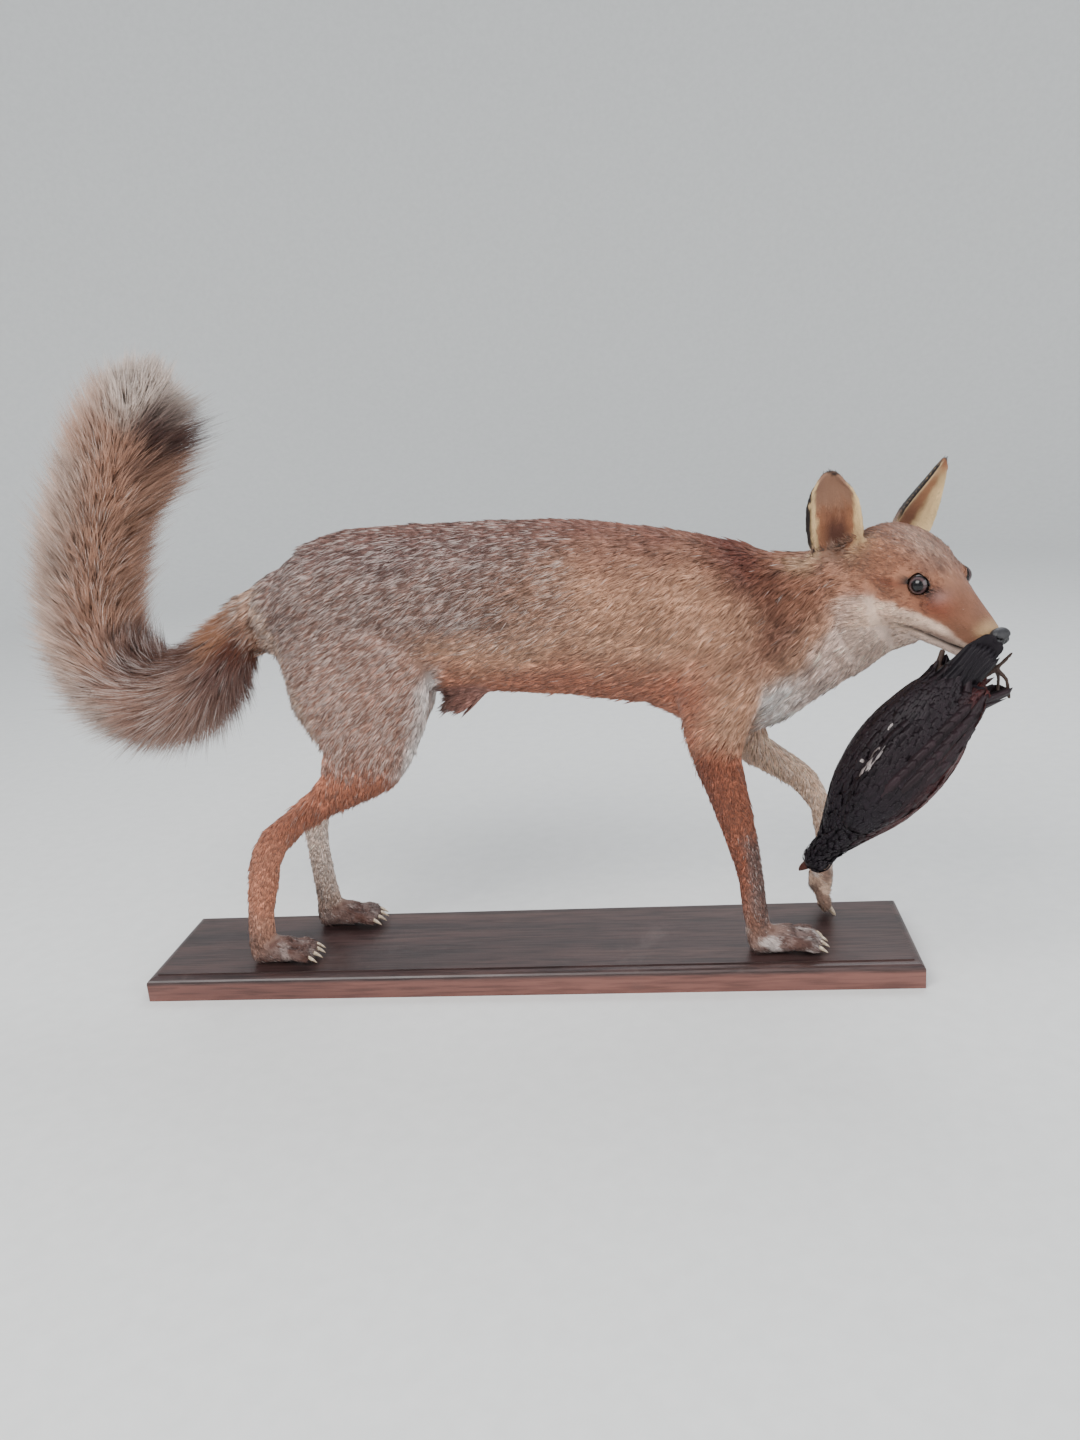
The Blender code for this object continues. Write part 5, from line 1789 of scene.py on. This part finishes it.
def claw(root, way, length, radius):
    """Points and faces of a curved horn cone."""
    way = unit(np.array(way))
    side = unit(np.cross(way, (0, 0, 1)))
    down = np.cross(way, side)
    down = down if down[2] < 0 else -down
    points, faces = [], []
    steps, sides = 7, 8
    for i in range(steps):
        t = i / (steps - 1)
        middle = np.array(root) + way * length * t + down * length * 0.28 * t * t
        size = radius * (1 - t) ** 0.65 + 0.00012
        for turn in np.linspace(0, 2 * math.pi, sides, endpoint=False):
            aside, below = size * 0.75 * math.cos(turn), size * 1.15 * math.sin(turn)
            points.append(middle + side * aside + down * below)
    for i in range(steps - 1):
        for j in range(sides):
            a, b = i * sides + j, i * sides + (j + 1) % sides
            faces += [(a, b, b + sides), (a, b + sides, a + sides)]
    last = (steps - 1) * sides
    for j in range(1, sides - 1):
        faces += [(0, j + 1, j), (last, last + j, last + j + 1)]
    return np.array(points), np.array(faces)


print("a claw has", len(claw((0, 0, 0), (1, 0, 0), CLAW_LONG, CLAW_RADIUS)[1]), "faces")

# %% [markdown]
# The claws sit in a shallow arc across each paw, and the lifted fore paw has its own, pointing
# further down. One mesh holds them all, because they share one finish.


# %% Claws on every toe
def all_claws():
    places = []
    for heel, middle, wide, long in PAWS.values():
        for toe, reach in zip(TOES, (0.88, 1.0, 1.0, 0.88)):
            root = (heel + long * 0.80 * reach + 0.0015, middle + wide * toe * 1.05, 0.0315)
            places.append((root, (1.0, 0.10 * toe, -0.28)))
    for toe, reach in zip(TOES, (0.80, 1.0, 1.0, 0.80)):
        root = (0.2745, 0.034 + 0.0124 * toe, 0.0510 - 0.0215 * reach)
        places.append((root, (0.72, 0.08 * toe, -0.62)))
    points, faces, start = [], [], 0
    for root, way in places:
        p, f = claw(root, way, CLAW_LONG, CLAW_RADIUS)
        points.append(p)
        faces.append(f + start)
        start += len(p)
    return np.vstack(points), np.vstack(faces)


def horn_finish():
    made = Finish("claw_horn", 0.35)
    layers = made.noise(500, 3, (1.0, 0.3, 1.0))
    tone = made.ramp(layers, "Fac", [(0.3, linear(150, 124, 100)), (0.7, linear(222, 206, 182))])
    made.link(tone, "Color", "Base Color")
    made.bump(layers, "Fac", 0.25, 0.0002)
    made.set("Coat Weight", 0.25)
    return made.made


claws = mesh_of("claws", *all_claws(), horn_finish())
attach(claws, "root")
print("claws", len(claws.data.polygons), "faces")

# %% [markdown]
# ## The moorhen
# The bird in the fox's jaws is a moorhen: slate-black, browner on the folded wings, with a few
# white streaks along the flank. It is a side figure, so it is made more simply. Its CAD solid is
# remeshed for the skin, and feathers are thin closed vanes laid from head to tail like roof tiles.

# %% The bird's skin
BIRD_VOXEL, BIRD_TRIANGLES = 0.0011, 16_000
BIRD_TAIL = ((0.3410, -0.091, 0.2600), (0.3730, -0.103, 0.3000))
BIRD_NECK = ((0.2517, -0.074, 0.1244), (0.2726, -0.079, 0.1543), (0.3100, -0.086, 0.2071))
BIRD_LINE = smooth_path(BIRD_NECK + BIRD_TAIL, 60)
FOOT = (0.3785, -0.0915, 0.2780)
BIRD_LEGS = (
    ((0.3300, -0.092, 0.2620), (0.3360, -0.089, 0.2760), (0.3430, -0.083, 0.2920)),
    ((0.3560, -0.086, 0.2600), (0.3700, -0.090, 0.2720), (0.3800, -0.092, 0.2790)),
    (FOOT, (0.3840, -0.0915, 0.2830), (0.3905, -0.0900, 0.2890)),
    (FOOT, (0.3860, -0.0930, 0.2700), (0.3885, -0.0930, 0.2550)),
    (FOOT, (0.3830, -0.0850, 0.2700), (0.3840, -0.0800, 0.2580)),
)
BILL = ((0.2456, -0.070, 0.1188), (0.2415, -0.063, 0.1123), (0.2385, -0.057, 0.1072))
SLATE, WING_BROWN, BACK_RED = linear(24, 17, 24), linear(34, 22, 26), linear(78, 33, 31)


def distance_to(points, line):
    return np.sqrt(((points[:, None] - np.asarray(line)[None]) ** 2).sum(2)).min(1)


bird_hide = remeshed(swollen_join(["moorhen"], 0.0), BIRD_VOXEL)
put_back(bird_hide, Spreader(bird_hide)(numbers(bird_hide.vertices, "co", 3), 3))
bird_hide = thinned(bird_hide, BIRD_TRIANGLES)
bird_spot = numbers(bird_hide.vertices, "co", 3).astype(float)
bird_normal = unit(Spreader(bird_hide)(vertex_normals(bird_hide), 3))
leg_line = np.vstack([smooth_path(p, 14) for p in BIRD_LEGS])
leg_share = smooth_step(0.0065, 0.0045, distance_to(bird_spot, leg_line))
bill_share = smooth_step(0.0085, 0.006, distance_to(bird_spot, smooth_path(BILL, 12)[3:]))
bird_spot = bird_spot - bird_normal * (0.0016 * (1 - leg_share) * (1 - bill_share))[:, None]
put_back(bird_hide, bird_spot)
bird_colour = np.tile(np.array(SLATE) * 0.8, (len(bird_spot), 1))
lay(bird_colour, leg_share, linear(62, 47, 41))
lay(bird_colour, bill_share, linear(72, 38, 32))
give(bird_hide, "coat", with_alpha(bird_colour))
print("bird skin", len(bird_hide.polygons), "faces")

# %% [markdown]
# Plumage has a dull gloss with fine barbs across it. Skin and vanes share one recipe, at two
# scales, so that no edge shows where a vane ends.


# %% Finish of the plumage
def plumage_finish(name, roughness, scale):
    made = Finish(name, roughness)
    barbs = made.noise(scale, 3)
    shades = [(0.3, (0.72, 0.72, 0.74)), (0.7, (1.2, 1.18, 1.16))]
    made.link(made.streaked(barbs, shades)[1], MIXED, "Base Color")
    made.bump(barbs, "Fac", 0.3, 0.0003)
    made.set("Specular IOR Level", 0.22)
    return made.made


bird = add_object("moorhen_body", bird_hide, plumage_finish("bird_skin", 0.6, 900))
bird_hide.shade_smooth()
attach(bird, "root")
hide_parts("moorhen")
print("bird finish has", len(bird_hide.materials[0].node_tree.nodes), "nodes")

# %% [markdown]
# Body feathers grow all over the bird, small at the head and larger on the back. The quills of the
# wing and tail are longer, laid in order from the shoulder to the tip, and each is pressed onto the
# surface under it, so that it follows the wing's curve.

# %% Places on the bird
FEATHERS = 3600
VANE_WAYS = ((-0.5, -0.02), (0.5, -0.02), (0.0, 0.07))
bird_corner = numbers(bird_hide.loops, "vertex_index", 1, np.int32).reshape(-1, 3)
bird_tree = BVHTree.FromPolygons(bird_spot.tolist(), bird_corner.tolist())


def onto_bird(points, lift):
    """The nearest places on the bird's surface, lifted off it, and the normals there."""
    found = [bird_tree.find_nearest(p) for p in points.tolist()]
    places = np.array([tuple(f[0]) for f in found])
    normals = np.array([tuple(f[1]) for f in found])
    return places + normals * lift[:, None], normals


def bird_scatter(count):
    corners = bird_spot[bird_corner]
    bare = np.maximum(leg_share, bill_share)[bird_corner].max(1)
    expected = np.cumsum(triangle_areas(corners) * (1 - bare))
    steps = (np.arange(count) + rng.random(count)) * expected[-1] / count
    weights = rng.dirichlet((1, 1, 1), count)
    return (corners[np.searchsorted(expected, steps)] * weights[:, :, None]).sum(1)


print("feathers stand on", len(bird_corner), "faces")

# %% [markdown]
# A vane is a flat sliver with three rings. Its points are pressed onto the bird one after another,
# each a little higher than the last, so that the tips lie over the roots of the next row.


# %% A vane
def feather_mesh(name, start, way, long, wide, colour, edge, lift=0.0012):
    """Vanes from start along way, pressed onto the bird's surface."""
    points, normals = [], []
    for t, rise in ((0.0, 0.0), (0.22, 0.6), (0.55, 1.0), (0.85, 1.2), (1.0, 1.3)):
        on_way = start + way * (long * t)[:, None]
        place, normal_here = onto_bird(on_way, np.full(len(start), lift * rise))
        points.append(place)
        normals.append(normal_here)
    heading = unit(points[3] - points[1])
    up = unit(normals[2] - heading * (normals[2] * heading).sum(1)[:, None])
    side = np.cross(up, heading)
    spots = np.stack([(start[:, 0] - 0.2) / 0.25, (start[:, 2] - 0.1) / 0.25], 1)
    rings = [(points[1], 0.75, colour), (points[2], 1.0, colour), (points[3], 0.80, edge)]
    root, point = (points[0], colour * 0.6), (points[4], edge)
    made = spikes(name, vanes, root, rings, point, side, up, wide, spots, VANE_WAYS)
    return made


vanes = plumage_finish("bird_vanes", 0.5, 1500)
print("vane finish has", len(vanes.node_tree.nodes), "nodes")

# %% [markdown]
# Each body feather starts at a random place, points towards the tail along the bird's middle line
# and takes its length and colour from how far along that line it is.

# %% Body feathers
quill = bird_scatter(FEATHERS)
near = ((quill[:, None] - BIRD_LINE[None]) ** 2).sum(2).argmin(1)
up_body = near / (len(BIRD_LINE) - 1)
headway = unit(np.gradient(BIRD_LINE, axis=0))[near]
on_tail_end = up_body > 0.80
quill, near, up_body, headway = (v[~on_tail_end] for v in (quill, near, up_body, headway))
colour = np.tile(np.array(SLATE), (len(quill), 1))
away = unit(quill - BIRD_LINE[near])
back_side = smooth_step(0.2, 0.9, away[:, 0] * 0.75 - away[:, 2] * 0.6)
lay(colour, 0.8 * smooth_step(0.12, 0.35, up_body) * back_side, BACK_RED)
lay(colour, 0.55 * smooth_step(0.25, 0.5, up_body) * (1 - back_side), WING_BROWN)
colour *= np.exp(jitter(len(quill), 0.16))[:, None]
flank = band(away[:, 2] * 0.6 - away[:, 0] * 0.75, 0.62, 0.80, 0.04)
flank *= band(up_body, 0.38, 0.56, 0.03)
streak = rng.random(len(quill)) < 0.10 * flank * (away[:, 1] < 0)
colour[streak] = linear(170, 160, 158)
sizes = 0.0065 + 0.0085 * smooth_step(0.05, 0.45, up_body)
longs, wides = sizes * np.exp(jitter(len(quill), 0.12)), sizes * 0.52
feather_mesh("moorhen_feathers", quill, headway, longs, wides, colour, colour * 0.8)

# %% [markdown]
# The long quills are not left to chance. Three rows stand along each folded wing, and two fans of
# seven make the tail. Counting along one line for each keeps them evenly spaced, as they grow.

# %% Quills of the wings and the tail
WING_POINTS = (
    ((0.2770, -0.083, 0.1649), (0.3000, -0.086, 0.1944), (0.3240, -0.089, 0.2249))
    + ((0.3520, -0.092, 0.2513), (0.3680, -0.096, 0.2660))
)
WING_STEPS, WING_ROWS, ROW_QUILLS, TAIL_QUILLS = 39, 3, 9, 7
WING_LINE = smooth_path(WING_POINTS, WING_STEPS + 1)
TAIL_LINE = np.array(((0.3430, -0.094, 0.2600), (0.3730, -0.103, 0.3000)))


def quills():
    """Starts, ways, lengths and widths for the long feathers, both wings and the tail."""
    starts, ways_on, longs, wides = [], [], [], []
    for side in (-1, 1):
        for row in range(WING_ROWS):
            for i in range(ROW_QUILLS):
                t = 0.16 + 0.060 * i + 0.04 * row
                at = WING_LINE[int(t * WING_STEPS)] + np.array((0.0, side * 0.030, 0.0))
                aim = WING_LINE[min(WING_STEPS, int((t + 0.34) * WING_STEPS))]
                aim = aim + np.array((0.004 * row, side * 0.022, -0.004 * row))
                shift = np.array((0.75, 0.0, -0.60)) * (0.008 * (row - 0.6) + 0.0004 * i)
                starts.append(at + shift)
                ways_on.append(unit(aim + shift * 0.6 - at - shift))
                longs.append(0.030 + 0.010 * row)
                wides.append(0.0085)
    fan = np.cross(unit(TAIL_LINE[1] - TAIL_LINE[0]), (0, 1, 0))
    for layer in (-1, 1):
        for i in np.linspace(-1, 1, TAIL_QUILLS):
            starts.append(TAIL_LINE[0] + fan * 0.008 * i + np.array((0, layer * 0.004, 0)))
            aim = TAIL_LINE[1] + fan * 0.0105 * i + np.array((0, layer * 0.002, 0))
            ways_on.append(unit(aim - starts[-1]))
            longs.append(0.049 - 0.004 * abs(i))
            wides.append(0.0075)
    return (np.array(v) for v in (starts, ways_on, longs, wides))


starts, ways_on, longs, wides = quills()
colour = np.array(WING_BROWN) * np.exp(jitter(len(starts), 0.15))[:, None]
colour[-2 * TAIL_QUILLS :] = np.array(SLATE) * 0.7
feather_mesh("moorhen_quills", starts, ways_on, longs, wides, colour, colour * 1.25, 0.0018)

# %% Finish
low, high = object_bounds()
shown = [o for o in bpy.data.objects if o.type == "MESH" and not o.hide_render]
total = sum(len(o.data.polygons) for o in shown)
size = [round(1000 * (b - a)) for a, b in zip(low, high)]
print("visual box", size, "mm;", total, "faces in all")
